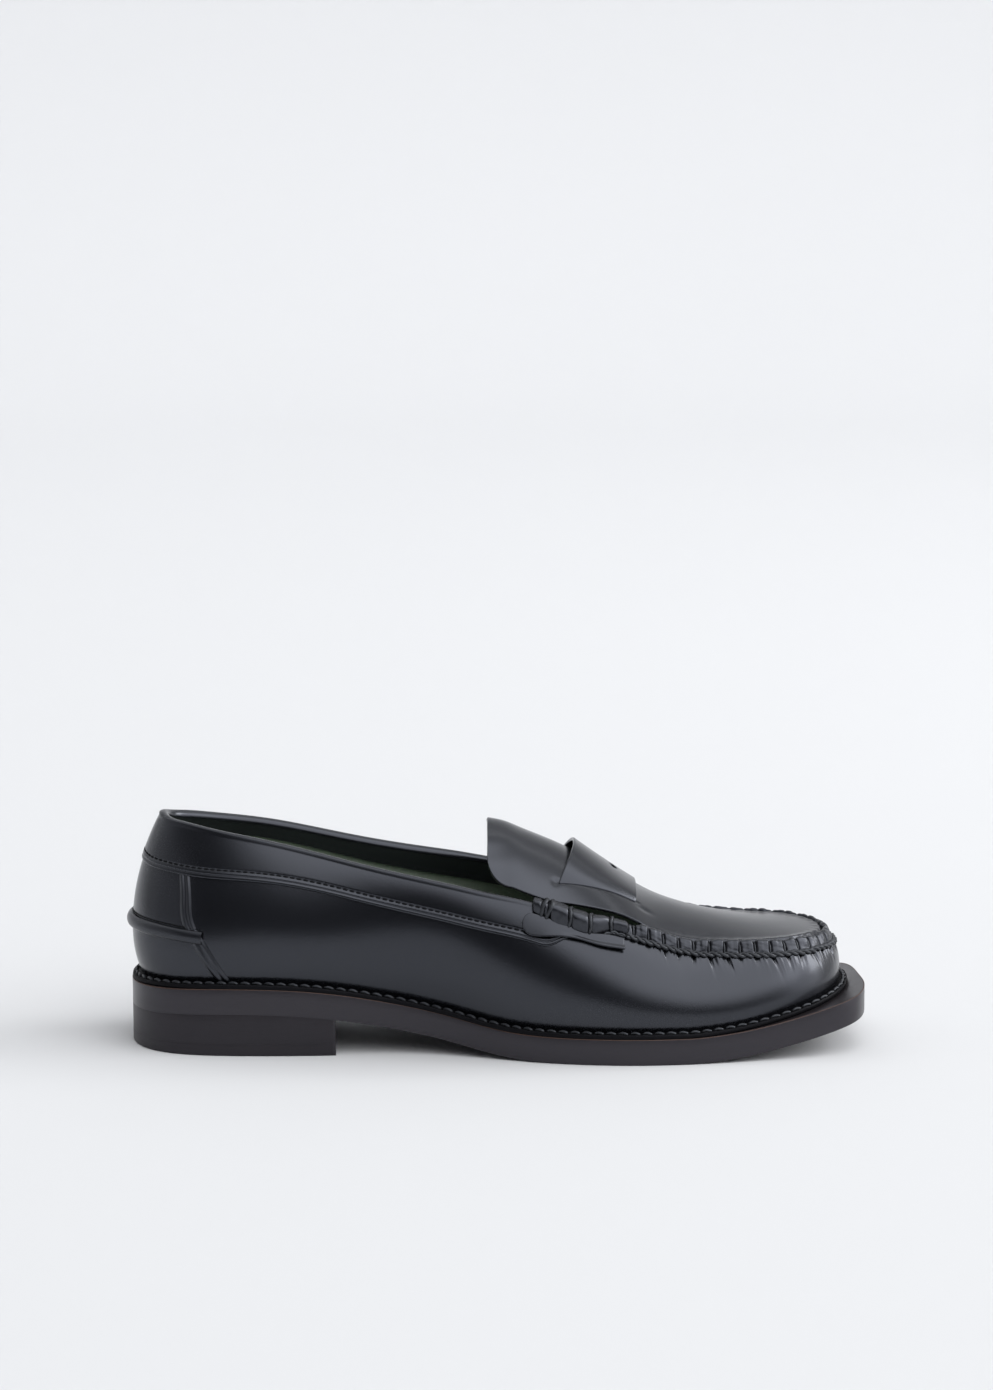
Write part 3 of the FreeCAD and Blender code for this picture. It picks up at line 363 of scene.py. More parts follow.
# ---- Materials -----------------------------------------------------------------------------------
class Value:
    """One output socket of a material's nodes, ready for sums."""

    def __init__(self, recipe, socket):
        self.recipe, self.socket = recipe, socket

    def _math(self, operation, a, b):
        return self.recipe.add("ShaderNodeMath", {"operation": operation}, {0: a, 1: b})

    def __add__(self, other):
        return self._math("ADD", self, other)

    def __radd__(self, other):
        return self._math("ADD", other, self)

    def __sub__(self, other):
        return self._math("SUBTRACT", self, other)

    def __rsub__(self, other):
        return self._math("SUBTRACT", other, self)

    def __mul__(self, other):
        return self._math("MULTIPLY", self, other)

    def __rmul__(self, other):
        return self._math("MULTIPLY", other, self)

    def __pow__(self, other):
        return self._math("POWER", self, other)


class Recipe:
    """A material or a world, and the nodes that make it."""

    def __init__(self, name, kind="materials", shader="Principled BSDF", place="Object", **constants):
        self.material = getattr(bpy.data, kind).new(name)
        self.material.use_nodes = True
        self.nodes = self.material.node_tree.nodes
        self.links = self.material.node_tree.links
        self.shader = self.nodes[shader]
        for socket, value in constants.items():
            self.shader.inputs[socket.replace("_", " ")].default_value = value
        self.place = self.add("ShaderNodeTexCoord", output=place)

    def add(self, kind, settings=None, inputs=None, output=0):
        node = self.nodes.new(kind)
        for key, value in (settings or {}).items():
            setattr(node, key, value)
        for key, value in (inputs or {}).items():
            if isinstance(value, Value):
                self.links.new(value.socket, node.inputs[key])
            else:
                node.inputs[key].default_value = value
        return Value(self, node.outputs[output])

    def noise(self, scale, detail=3.0, place=None, roughness=0.5, output="Factor"):
        out = "Fac" if output == "Factor" else output
        return self.add("ShaderNodeTexNoise", None,
                        {"Vector": place or self.place, "Scale": scale, "Detail": detail,
                         "Roughness": roughness}, out)

    def cells(self, scale, place=None, feature="F1"):
        return self.add("ShaderNodeTexVoronoi", {"feature": feature},
                        {"Vector": place or self.place, "Scale": scale}, "Distance")

    def stretch(self, x, y, z):
        return self.add("ShaderNodeVectorMath", {"operation": "MULTIPLY"},
                        {0: self.place, 1: (x, y, z)})

    def band(self, value, low, high):
        return self.add("ShaderNodeMapRange", {"interpolation_type": "SMOOTHSTEP"},
                        {"Value": value, "From Min": low, "From Max": high})

    def between(self, factor, a, b):
        return self.add("ShaderNodeMix", {"data_type": "RGBA"},
                        {0: factor, 6: (*a, 1), 7: (*b, 1)}, 2)

    def feed(self, **sockets):
        for socket, value in sockets.items():
            self.links.new(value.socket, self.shader.inputs[socket.replace("_", " ")])
        return self

    def bump(self, height, depth, strength=1.0, under=None):
        inputs = {"Height": height, "Distance": depth * MM, "Strength": strength}
        if under:
            inputs["Normal"] = under
        return self.add("ShaderNodeBump", None, inputs)


def shade(colour, factor):
    return tuple(c * factor for c in colour)


def polished_leather(name, colour, rough, pore=0.55, grain=0.02, crease=0.05):
    """Box calf: a fine pore pattern under wax, a little uneven in gloss and colour."""
    r = Recipe(name, Specular_IOR_Level=0.68, Specular_Tint=(0.82, 0.865, 1.0, 1), Coat_Roughness=0.14)
    pores = r.cells(1000 / pore)
    fine = r.noise(2600, 4)
    slow = r.noise(55, 3)
    wipe = r.noise(14, 4, r.stretch(0.4, 1, 1.6))
    r.feed(Base_Color=r.between(slow, shade(colour, 0.8), shade(colour, 1.3)),
           Roughness=rough + (wipe - 0.5) * 0.16 + (fine - 0.5) * 0.05,
           Coat_Weight=0.02 + wipe * 0.14)
    soft = r.bump(slow, crease)
    r.feed(Normal=r.bump(pores * 0.7 + fine * 0.5, grain, 1.0, soft))
    return r.material


def cut_leather(name, colour, rough, coarse=0.06, specular=0.5):
    """The burnished or inked edge of leather: fibres along the layers."""
    r = Recipe(name, Specular_IOR_Level=specular, Specular_Tint=(0.88, 0.88, 1.0, 1))
    fibres = r.noise(900, 5, r.stretch(0.15, 0.15, 3.0))
    patches = r.noise(70, 4)
    r.feed(Base_Color=r.between(patches, shade(colour, 0.75), shade(colour, 1.4)),
           Roughness=rough + (patches - 0.5) * 0.2,
           Normal=r.bump(fibres + patches * 0.4, coarse))
    return r.material


def twisted_thread(name, colour, rough, specular=0.6):
    r = Recipe(name, Specular_IOR_Level=specular, Specular_Tint=(0.85, 0.9, 1.0, 1))
    strands = r.noise(2400, 3, r.stretch(1.0, 1.0, 0.35))
    r.feed(Base_Color=r.between(strands, shade(colour, 0.6), shade(colour, 1.7)),
           Roughness=rough + (strands - 0.5) * 0.2, Normal=r.bump(strands, 0.05))
    return r.material


def brushed_lining(name, colour, rough):
    """Lining leather with a short nap."""
    r = Recipe(name, Specular_IOR_Level=0.3, Sheen_Weight=0.25, Sheen_Roughness=0.5)
    nap = r.noise(1500, 6, None, 0.65)
    cloud = r.noise(60, 4)
    r.feed(Base_Color=r.between(nap * 0.6 + cloud * 0.4, shade(colour, 0.6), shade(colour, 1.5)),
           Roughness=rough + (cloud - 0.5) * 0.12, Normal=r.bump(nap, 0.09))
    return r.material


def moulded_rubber(name, colour):
    r = Recipe(name, Specular_IOR_Level=0.4)
    dust = r.noise(400, 5)
    r.feed(Base_Color=r.between(dust, shade(colour, 0.7), shade(colour, 1.5)),
           Roughness=0.62 + (dust - 0.5) * 0.2, Normal=r.bump(dust, 0.05))
    return r.material


def brushed_metal(name, colour):
    r = Recipe(name, Metallic=1.0)
    lines = r.noise(500, 4, r.stretch(0.1, 4.0, 1.0))
    r.feed(Base_Color=r.between(lines, shade(colour, 0.8), colour),
           Roughness=0.3 + lines * 0.2, Normal=r.bump(lines, 0.01))
    return r.material


def crumbled_cork(name, colour):
    r = Recipe(name)
    grains = r.cells(600)
    r.feed(Base_Color=r.between(grains, shade(colour, 0.5), shade(colour, 1.3)),
           Roughness=0.8 + grains * 0.1, Normal=r.bump(grains, 0.2))
    return r.material


_materials = {}


def material(name):
    """Each finish is made once, from the colours in the settings."""
    if name not in _materials:
        look = bpy.context.scene.loafer_finish
        black, sole = tuple(look.upper_colour), tuple(look.sole_colour)
        makers = {
            "upper": lambda: polished_leather("polished calf", black, look.upper_roughness),
            "trim": lambda: polished_leather("rolled trim calf", shade(black, 0.9), 0.33, 0.5, 0.03),
            "gathers": lambda: polished_leather("gathered calf", black, 0.34, 0.45, 0.03, 0.1),
            "sole": lambda: cut_leather("inked sole edge", sole, 0.32, 0.03, 0.62),
            "bare edge": lambda: cut_leather("bare leather line", (0.06, 0.032, 0.02), 0.6),
            "welt": lambda: cut_leather("waxed welt", shade(black, 0.3), 0.6, 0.08, 0.15),
            "heel": lambda: cut_leather("inked heel stack", shade(sole, 0.85), 0.42, 0.05),
            "under": lambda: cut_leather("worn sole leather", shade(sole, 1.6), 0.55, 0.06),
            "thread": lambda: twisted_thread("waxed thread", (0.011, 0.0115, 0.013), 0.42),
            "fine thread": lambda: twisted_thread("fine thread", (0.003, 0.003, 0.0035), 0.7, 0.2),
            "lining": lambda: brushed_lining("green lining", tuple(look.lining_colour), 0.8),
            "sock": lambda: brushed_lining("sock leather", shade(look.lining_colour, 0.7), 0.6),
            "rubber": lambda: moulded_rubber("heel rubber", (0.012, 0.012, 0.013)),
            "steel": lambda: brushed_metal("spring steel", (0.5, 0.5, 0.52)),
            "cork": lambda: crumbled_cork("cork", (0.35, 0.2, 0.1)),
            "board": lambda: cut_leather("fibre board", (0.3, 0.22, 0.14), 0.8, 0.1),
        }
        _materials[name] = makers[name]()
    return _materials[name]


def finish_of(node, name):
    """Gives a piece of the frame that stays its own finish."""
    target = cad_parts[node]
    target = target if hasattr(target, "data") else bpy.data.objects[node]
    target.data.materials.clear()
    target.data.materials.append(material(name))


# ---- Settings ------------------------------------------------------------------------------------
class LoaferSizes(bpy.types.PropertyGroup):
    """Sizes of the hand work, in millimetres."""
    gather_pitch: FloatProperty(name="Gather pitch", description="Distance between two gathers",
                                default=5.8, min=3, max=9)
    gather_depth: FloatProperty(name="Gather depth", description="Depth of the groove between gathers",
                                default=1.55, min=0, max=3)
    fold_depth: FloatProperty(name="Fold depth", description="Depth of the folds below the seam",
                              default=0.62, min=0, max=1.5)
    seam_height: FloatProperty(name="Seam height", description="Height of the gathered edge",
                               default=4.6, min=2, max=7)
    welt_pitch: FloatProperty(name="Welt stitch pitch", description="Distance between welt stitches",
                              default=4.4, min=2, max=8)
    fine_pitch: FloatProperty(name="Fine stitch pitch", description="Distance between collar stitches",
                              default=2.5, min=1, max=5)
    swell: FloatProperty(name="Swell", description="Height of the leather's slow unevenness",
                         default=0.16, min=0, max=1)


class LoaferFinish(bpy.types.PropertyGroup):
    """Colours and gloss."""
    upper_colour: FloatVectorProperty(name="Upper", description="Colour of the upper's leather",
                                      default=(0.0035, 0.0037, 0.0046), subtype="COLOR", min=0, max=1)
    upper_roughness: FloatProperty(name="Upper roughness", description="0 is a mirror, 1 is chalk",
                                   default=0.25, min=0, max=1, subtype="FACTOR")
    sole_colour: FloatVectorProperty(name="Sole edge", description="Colour of the inked sole edge",
                                     default=(0.012, 0.0095, 0.0105), subtype="COLOR", min=0, max=1)
    lining_colour: FloatVectorProperty(name="Lining", description="Colour of the lining",
                                       default=(0.25, 0.30, 0.24), subtype="COLOR", min=0, max=1)
    floor_colour: FloatVectorProperty(name="Floor", description="Colour of the studio's floor",
                                      default=(0.688, 0.694, 0.704), subtype="COLOR", min=0, max=1)


# ---- Bottom --------------------------------------------------------------------------------------
def slab(low, high, t0, t1, out=0.0, top=0.03, foot=0.03, n=420, rung=24):
    """A layer of the bottom between two heights, with its top and foot edges rounded."""
    whole = t1 - t0 >= COUNT
    mesh = Mesh()
    ts = np.linspace(0, TOE, n // 2) if whole else np.linspace(0, t1, n // 4)
    levels = [(out - top * (1 - math.sin(a)), lambda x, d=top * (1 - math.cos(a)): high(x) - d)
              for a in np.linspace(0, math.pi / 2, 4)]
    levels += [(out, lambda x, s=share: lerp(high(x) - top, low(x) + foot, s)) for share in (0.33, 0.66)]
    levels += [(out - foot * (1 - math.sin(a)), lambda x, d=foot * (1 - math.cos(a)): low(x) + d)
               for a in np.linspace(math.pi / 2, 0, 4)]
    for side in (ts, COUNT - ts if whole else -ts):
        lines = []
        for o, level in levels:
            plan = edge_point(side, 0, o)
            lines.append(stack(plan[:, 0], plan[:, 1], level(plan[:, 0])))
        mesh.grid(np.stack(lines, 1))
    other = COUNT - ts if whole else -ts
    for o, level in (levels[0], levels[-1]):
        a, b = edge_point(ts, 0, o), edge_point(other, 0, o)
        across = lerp(a[:, None], b[:, None], np.linspace(0, 1, rung)[None, :, None])
        mesh.grid(stack(across[..., 0], across[..., 1], level(across[..., 0])))
    if not whole:
        lines = []
        for o, level in levels:
            a, b = edge_point(ts[-1:], 0, o)[0], edge_point(other[-1:], 0, o)[0]
            across = lerp(a[None], b[None], np.linspace(0, 1, rung)[:, None])
            lines.append(stack(across[:, 0], across[:, 1], level(across[:, 0])))
        mesh.grid(np.stack(lines, 1))
    return mesh


def make_bottom():
    slab(sole_bottom, sole_top, 0, COUNT, top=0.35, foot=0.12).finish(
        "leather_sole", material("sole"), ["outsole", "midsole"], slot="sole_edge")
    line = Mesh()
    ts = np.linspace(0, COUNT, 700)
    plan = edge_point(ts, 0, -0.22)
    cord(line, stack(plan[:, 0], plan[:, 1], sole_top(plan[:, 0]) - 0.14), 0.22, 6, ends=False)
    line.finish("bare_leather_line", material("bare edge"), slot="sole_edge")


def heel_end():
    ts = np.linspace(0, 8, 900)
    return float(np.interp(HEEL_LENGTH, edge_point(ts, 0)[:, 0], ts))


def make_heel():
    end = heel_end()
    slab(lambda x: 0 * x, lambda x: 0 * x + TOP_PIECE, -end, end, foot=0.5).finish(
        "heel_top_rubber", material("heel"), ["heel_top_piece"], slot="heel_rubber")
    slab(lambda x: 0 * x + TOP_PIECE, sole_bottom, -end, end, out=-0.02).finish(
        "heel_lifts", material("heel"), ["heel_lift_1", "heel_lift_2", "heel_lift_3"],
        slot="heel_stack")


# outwards from the feather line, and up from the midsole
WELT_SECTION = [(-0.6, 0.0), (-0.6, 1.3), (-0.1, 1.75), (0.7, 1.9), (1.7, 1.95), (2.3, 1.85),
                (2.7, 1.62), (3.1, 1.6), (3.5, 1.78), (3.9, 1.85), (4.2, 1.6), (4.32, 1.0),
                (4.3, 0.3), (4.05, 0.02)]
WELT_STITCH_LINE, WELT_THREAD_RADIUS = 2.9, 0.52


def make_welt():
    size = bpy.context.scene.loafer_sizes
    ts = np.linspace(0, COUNT, 900, endpoint=False)
    lines = []
    for out, z in WELT_SECTION:
        plan = edge_point(ts, 2, out)
        lines.append(stack(plan[:, 0], plan[:, 1], sole_top(plan[:, 0]) + z))
    g = np.stack(lines, 1)
    notch = 0.12 * (swell(g, 3.0, 5) + swell(g, 1.4, 6))
    g[..., 2] += notch * (np.array([z for _, z in WELT_SECTION]) > 1.2)
    Mesh().grid(g, around_u=True).finish("welt_strip", material("welt"), ["welt"],
                                         slot="welt_leather")
    stitches = Mesh()
    fine = np.linspace(0, COUNT, 6000)
    plan = edge_point(fine, 2, WELT_STITCH_LINE)
    reach = arc_length(plan)
    number = int(reach[-1] / size.welt_pitch)
    rng = np.random.default_rng(3)
    for i in range(number):
        start = (i + 0.1) * reach[-1] / number
        path = []
        slant = 0.34 + rng.uniform(-0.1, 0.1)
        for share in np.linspace(0, 1, 9):
            t = np.interp(start + share * size.welt_pitch * 0.86, reach, fine)
            x, y = edge_point(np.array(t), 2, WELT_STITCH_LINE + (share - 0.5) * 2 * slant)
            rise = 1.5 + 0.75 * math.sin(math.pi * share) ** 0.6
            path.append((x, y, float(sole_top(x)) + rise))
        cord(stitches, path, WELT_THREAD_RADIUS, 8, twist=0.9)
    stitches.finish("welt_stitches", material("thread"), ["welt_thread"], slot="waxed_thread")


# ---- Upper walls ---------------------------------------------------------------------------------
_seam_t = np.linspace(SEAM_START - 0.35, COUNT - SEAM_START + 0.35, 3000)
_seam_s = arc_length(wall_point(_seam_t, np.ones_like(_seam_t)))


def seam_length(t):
    return np.interp(t, _seam_t, _seam_s)


def seam_place(s):
    return np.interp(s, _seam_s, _seam_t)


def gathers(s, seed, low, high, blur=0.0):
    """One random number for each gather, between low and high, changing between the grooves."""
    pitch = bpy.context.scene.loafer_sizes.gather_pitch
    table = np.random.default_rng(seed).uniform(low, high, 80)
    index = s / pitch
    i = np.floor(index).astype(int) % 80
    u = smooth(0.5 - blur, 0.5 + blur, index - np.floor(index)) if blur else 0
    return lerp(table[i], table[(i + 1) % 80], u)


def groove(s, width):
    """1 in each groove between two gathers, 0 on the gathers."""
    pitch = bpy.context.scene.loafer_sizes.gather_pitch
    away = (s / pitch + 0.5) % 1 - 0.5
    return np.exp(-(away * pitch / width) ** 2)


def wall_folds(t, f):
    """How far the wall is pushed in or out by the seam's gathers, in millimetres."""
    size = bpy.context.scene.loafer_sizes
    s = seam_length(t)
    below = (1 - f) * height_of(t) * 1.35
    inside = smooth(SEAM_START - 0.2, SEAM_START + 0.6, t) * smooth(
        SEAM_START - 0.2, SEAM_START + 0.6, COUNT - t)
    turn = 2 * math.pi * s / size.gather_pitch
    bend = gathers(s, 21, -0.5, 0.5, 0.4) * below * 0.35
    strength = gathers(s, 22, 0.55, 1.0, 0.5)
    wave = (np.cos(turn + bend) + 0.55 * np.cos(2 * turn + 2 * bend + gathers(s, 23, -1, 1, 0.5))
            + 0.4 * np.cos(3 * turn + gathers(s, 24, -2, 2, 0.5) + bend * 3)
            + 0.25 * np.cos(4 * turn + gathers(s, 26, -3, 3, 0.5) + bend * 4))
    reach = gathers(s, 25, 2.2, 4.4, 0.5)
    fade = np.exp(-(below / reach) ** 1.3)
    return -size.fold_depth * wave * strength * fade * inside


def make_walls():
    size = bpy.context.scene.loafer_sizes
    f = np.concatenate([np.linspace(0, 0.72, 34), np.linspace(0.74, 1.0, 44)])
    grid = []
    for share in f:
        t0, t1 = seam_station(share)[0], seam_station(share, True)[0]
        t = np.linspace(t0, t1, 2200)
        grid.append(t)
    t = np.stack(grid, 1)
    ff = np.broadcast_to(f, t.shape)
    base = wall(t, ff)
    out = swell(base, 38, 11) * size.swell * smooth(0, 0.15, ff) + wall_folds(t, ff)
    in_seam = smooth(SEAM_START - 0.1, SEAM_START + 0.2, t) * smooth(
        SEAM_START - 0.1, SEAM_START + 0.2, COUNT - t)
    out = out - 0.6 * smooth(0.972, 1.0, ff) * in_seam - 0.5 * smooth(0.96, 1.0, ff) * (1 - in_seam)
    Mesh().grid(wall(t, ff, out)).finish("vamp_wall", material("upper"), ["vamp"],
                                         slot="upper_leather")
    make_back_panels()


def make_back_panels():
    size = bpy.context.scene.loafer_sizes

    def panel(name, f0, f1, node, extra):
        shares = np.linspace(0, 1, 30)
        ts = []
        for share in shares:
            level = f0(0.0) + (f1(0.0) - f0(0.0)) * share
            ts.append(np.linspace(seam_station(level, True)[0] - COUNT - 0.03,
                                  seam_station(level)[0] + 0.03, 160))
        t = np.stack(ts, 1)
        f = f0(t) + (f1(t) - f0(t)) * shares
        base = wall(t, f)
        out = swell(base, 30, 17) * size.swell * 0.7 + extra(shares)
        Mesh().grid(wall(t, f, out)).finish(name, material("upper"), [node], slot="upper_leather")
    panel("heel_cover_lower", lambda t: 0 * t, lambda t: bead_level(abs(t)) + 0.01,
          "heel_counter_cover", lambda v: 0.0 * v)
    panel("back_panel_upper", lambda t: bead_level(abs(t)) - 0.01, lambda t: 0 * t + 0.985,
          "back_panel", lambda v: -0.15 * np.exp(-(v / 0.06) ** 2))


# inwards from the top line, and up
GATHER_SECTION = [(-0.75, -1.6), (-0.5, -0.5), (-0.25, 0.3), (0.05, 1.1), (0.4, 2.0), (0.8, 2.9),
                  (1.15, 3.6), (1.55, 4.15), (2.1, 4.5), (2.7, 4.6), (3.2, 4.35), (3.5, 3.8),
                  (3.6, 3.0), (3.6, 1.8), (3.6, 0.2)]
GATHER_TOP = 4.6
STRAND_PATH = [(0.0, -1.3), (0.3, -0.4), (0.75, 0.7), (1.15, 1.7), (1.65, 2.6), (2.2, 3.2),
               (2.8, 3.4), (3.4, 3.1), (3.9, 2.4)]
STRAND_RADIUS = 0.42


def make_gathered_edge():
    """The vamp's edge, gathered by the thread into a row of small leather blocks."""
    size = bpy.context.scene.loafer_sizes
    s0, s1 = seam_length(SEAM_START - 0.25), seam_length(COUNT - SEAM_START + 0.25)
    s = np.linspace(s0, s1, int((s1 - s0) / 0.22))
    t = seam_place(s)
    top = wall_point(t, np.ones_like(t))
    inward = -(edge_point(t, 4, 1.0) - edge_point(t, 4, 0.0))
    k = size.seam_height / GATHER_TOP
    rows = np.arange(len(GATHER_SECTION))
    fine = np.linspace(0, rows[-1], 44)
    a = np.interp(fine, rows, [inward for inward, _ in GATHER_SECTION])
    z = np.interp(fine, rows, [height for _, height in GATHER_SECTION]) * k
    slope = unit(stack(np.gradient(a), np.gradient(z)))
    face = stack(-slope[:, 1], slope[:, 0])
    level = np.clip(z / (GATHER_TOP * k), 0, 1)
    S, L = s[:, None], level[None, :]
    lean = (gathers(S, 31, -0.55, 0.55) * (L - 0.4)) * size.gather_pitch * 0.22
    cut = groove(S + lean, 0.47)
    across = ((S + lean) / size.gather_pitch) % 1 - 0.5
    puff = 0.42 * np.abs(np.sin(math.pi * (across + 0.5))) ** 0.45
    puff = puff + gathers(S, 36, 0.1, 0.8) * across * smooth(0.1, 0.6, L)
    size_change = gathers(S, 33, -0.25, 0.3, 0.12) * smooth(0.05, 0.5, L)
    scar = 0.07 * swell(stack(S * 0.7, L * 9 + 0 * S, 0 * S + 3.0), 3.0, 34)
    depth = (puff - 0.3 + size_change + scar) * smooth(0.0, 0.25, L) - size.gather_depth * cut * (
        0.25 + 0.75 * smooth(0.02, 0.25, L)) * (1 - 0.72 * smooth(6.5, 9.5, fine)[None, :])
    farther = smooth(TOE, TOE + 3, t)[:, None]
    depth = depth * (1 - 0.45 * farther)
    crown = (gathers(S, 35, -0.3, 0.25, 0.1) * (1 - 0.5 * farther) + 0.7 * farther) * smooth(0.4, 1.0, L)
    ends = smooth(s0, s0 + 7, S) * smooth(s0, s0 + 7, s0 + s1 - S)
    A = a[None, :] + face[None, :, 0] * depth * lerp(0.6, 1, ends)
    Z = (z[None, :] + face[None, :, 1] * depth + crown) * lerp(0.72, 1, ends)
    g = np.stack([top[:, None, 0] + inward[:, None, 0] * A, top[:, None, 1] + inward[:, None, 1] * A,
                  top[:, None, 2] + Z], -1)
    Mesh().grid(g).finish("gathered_edge", material("gathers"), slot="upper_leather")
    make_seam_thread(s0, s1)


def make_seam_thread(s0, s1):
    """Waxed thread: a running rope under the gathers, and a strand over the edge in each groove."""
    size = bpy.context.scene.loafer_sizes
    mesh = Mesh()
    s = np.linspace(s0 + 0.5, s1 - 0.5, int((s1 - s0) / 0.25))
    t = seam_place(s)
    phase = 2 * math.pi * s / size.gather_pitch
    for offset, radius in ((0.0, 0.66), (math.pi * 0.9, 0.6)):
        drop = 0.75 + 0.5 * np.cos(phase + offset) + 0.15 * swell(stack(s, 0 * s, 0 * s), 9, 41)
        out = 0.55 + 0.35 * np.cos(phase + offset + 1.2)
        path = wall(t, 1 - drop / height_of(t) / 1.2, out)
        cord(mesh, path, radius, 10, twist=0.55)
    pitch = size.gather_pitch
    for j in range(int(math.ceil(s0 / pitch)), int(s1 / pitch)):
        t = np.array(seam_place(j * pitch))
        top, inward = wall_point(t, np.array(1.0)), -(edge_point(t, 4, 1.0) - edge_point(t, 4, 0.0))
        path = [(top[0] + inward[0] * a, top[1] + inward[1] * a, top[2] + z * size.seam_height / GATHER_TOP)
                for a, z in STRAND_PATH]
        cord(mesh, path, STRAND_RADIUS, 8, up=(0.3, 0.2, 1), twist=0.8)
    mesh.finish("seam_thread", material("thread"), ["apron_thread"], slot="waxed_thread")


# ---- Apron, tongue and strap ---------------------------------------------------------------------
STRAP = {"rear_crest": 164.6, "rear_edge": 160.3, "front": 188.4, "half_rear": 24.5,
         "half_front": 18.7, "thick": 1.4, "arch": 2.7}


SLOT_X, SLOT_Y = 180.8, 3.4
SLOT_HALF_ACROSS, SLOT_HALF_LONG = 3.6, 1.6
GATHER_WIDTH = 3.95  # from the top line to where the apron is sewn in
SEWN_STEPS = 330


def slit_distance(x, y):
    """Distance in plan to the nearer of the two slits that the strap goes into."""
    a, b = STRAP["rear_edge"] - 1.0, STRAP["front"] + 1.5
    share = np.clip((x - a) / (b - a), 0, 1)
    half = lerp(STRAP["half_rear"], STRAP["half_front"], share)
    across = np.abs(np.abs(y - CREST_Y) - half)
    past = np.maximum(0, np.maximum(a - x, x - b))
    return np.hypot(across, past)


def flap_outline():
    """Edge of the apron and tongue on the outer side, from the tongue's rear to the toe."""
    rear = flap_edge(FLAP_START + FLAP_CORNER)
    corner = [(FLAP_START + FLAP_CORNER * (1 - math.cos(a)), rear - FLAP_CORNER_WIDE * (1 - math.sin(a)))
              for a in np.linspace(0, math.pi / 2, 14)]
    joint = SEAM_START + 0.6
    side_x = np.linspace(FLAP_START + FLAP_CORNER, edge_point(np.array(joint), 4)[0] - 5.0, 120)[1:]
    return np.array(corner), side_x, joint


def make_plug():
    """One skin for apron and tongue: free at the back, sewn to the gathered edge in front."""
    size = bpy.context.scene.loafer_sizes
    corner, side_x, joint = flap_outline()
    halves = []
    for side in (-1, 1):
        narrower = INNER_NARROWER if side > 0 else 0.0
        free = np.concatenate([corner, np.stack([side_x, flap_edge(side_x)], 1)])
        free = np.stack([free[:, 0], side * (free[:, 1] - narrower)], 1)
        ts = np.linspace(joint if side < 0 else COUNT - joint, TOE, SEWN_STEPS)
        sewn = edge_point(ts, 4, -GATHER_WIDTH)
        gap = sewn[0] - free[-1]
        blend = np.linspace(0, 1, 14)[1:-1, None]
        bridge = free[-1] + gap * (blend * blend * (3 - 2 * blend) * [[0, 1]] + blend * [[1, 0]])
        halves.append(np.concatenate([free, bridge, sewn]))
    outer, inner = halves
    mid_x = np.minimum((outer[:, 0] + inner[:, 0]) / 2, 243.0)
    mid = np.stack([mid_x, np.full(len(mid_x), CREST_Y)], 1)
    share = np.concatenate([np.linspace(0, 0.12, 14)[:-1], np.linspace(0.12, 1, 34)])
    half_out = outer[:, None] + (mid - outer)[:, None] * share[None, :, None]
    half_in = inner[:, None] + (mid - inner)[:, None] * share[None, ::-1, None][:, 1:]
    plan = np.concatenate([half_out, half_in], 1)
    x, y = plan[..., 0], plan[..., 1]
    to_edge = np.minimum(np.linalg.norm(plan - outer[:, None], axis=-1),
                         np.linalg.norm(plan - inner[:, None], axis=-1))
    index = np.arange(len(outer))[:, None]
    sewn = smooth(len(outer) - SEWN_STEPS - 15, len(outer) - SEWN_STEPS + 10, index)
    slit = slit_distance(x, y)
    base = plug_point(x, y)
    out = swell(base, 46, 51) * size.swell * 0.8
    out = out - 0.4 * np.exp(-(slit / 0.5) ** 2)
    rear_x, front_x = STRAP["rear_edge"] - 1.0, STRAP["front"] + 2.0
    for side in (-1, 1):
        dimple_y = CREST_Y + side * (STRAP["half_rear"] + 0.2)
        d = np.hypot((x - rear_x + 0.6) * 0.8, y - dimple_y)
        out = out - 0.5 * np.exp(-(d / 1.0) ** 2)
        crease_y = CREST_Y + side * (STRAP["half_front"] + 2.6)
        d = np.hypot((x - front_x - 1.6) * 0.55, y - crease_y)
        out = out - 0.38 * np.exp(-(d / 1.5) ** 2)
    s = seam_length(np.linspace(joint, TOE, SEWN_STEPS))
    s = np.concatenate([np.full(len(outer) - SEWN_STEPS, s[0]), s])[:, None]
    ripple = 0.10 * np.cos(2 * math.pi * s / size.gather_pitch) * np.exp(-(to_edge / 2.6) ** 2)
    out = out + sewn * (ripple + 0.35 * np.exp(-((to_edge - 1.2) / 1.5) ** 2)
                        - 0.5 * np.exp(-(to_edge / 0.55) ** 2))
    rear = smooth(150, FLAP_START, x)
    out = out + 0.5 * rear * np.exp(-((y - CREST_Y) / 12) ** 2) + 0.25 * rear * swell(base, 15, 52)
    near, far = plug(x, y, out), plug(x, y, out - LEATHER)
    near, far = pillow(near, far, "uvV", 0.3)
    skin = Mesh().grid(near).grid(far).finish("apron_and_tongue", material("upper"),
                                              ["apron", "tongue"], body=None, slot="upper_leather")
    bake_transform(skin)


def strap_lift(a, b):
    """Height of the strap's underside over the tongue, for a from rear to front, b across."""
    back = 1 - a
    bridge = (0.2 * back + 0.8 * back ** 2.2) * STRAP["arch"]
    sunk = STRAP["thick"] - 0.2
    return (sunk + 0.15 + bridge) * (1 - np.abs(b) ** lerp(3.2, 9.0, a)) - sunk


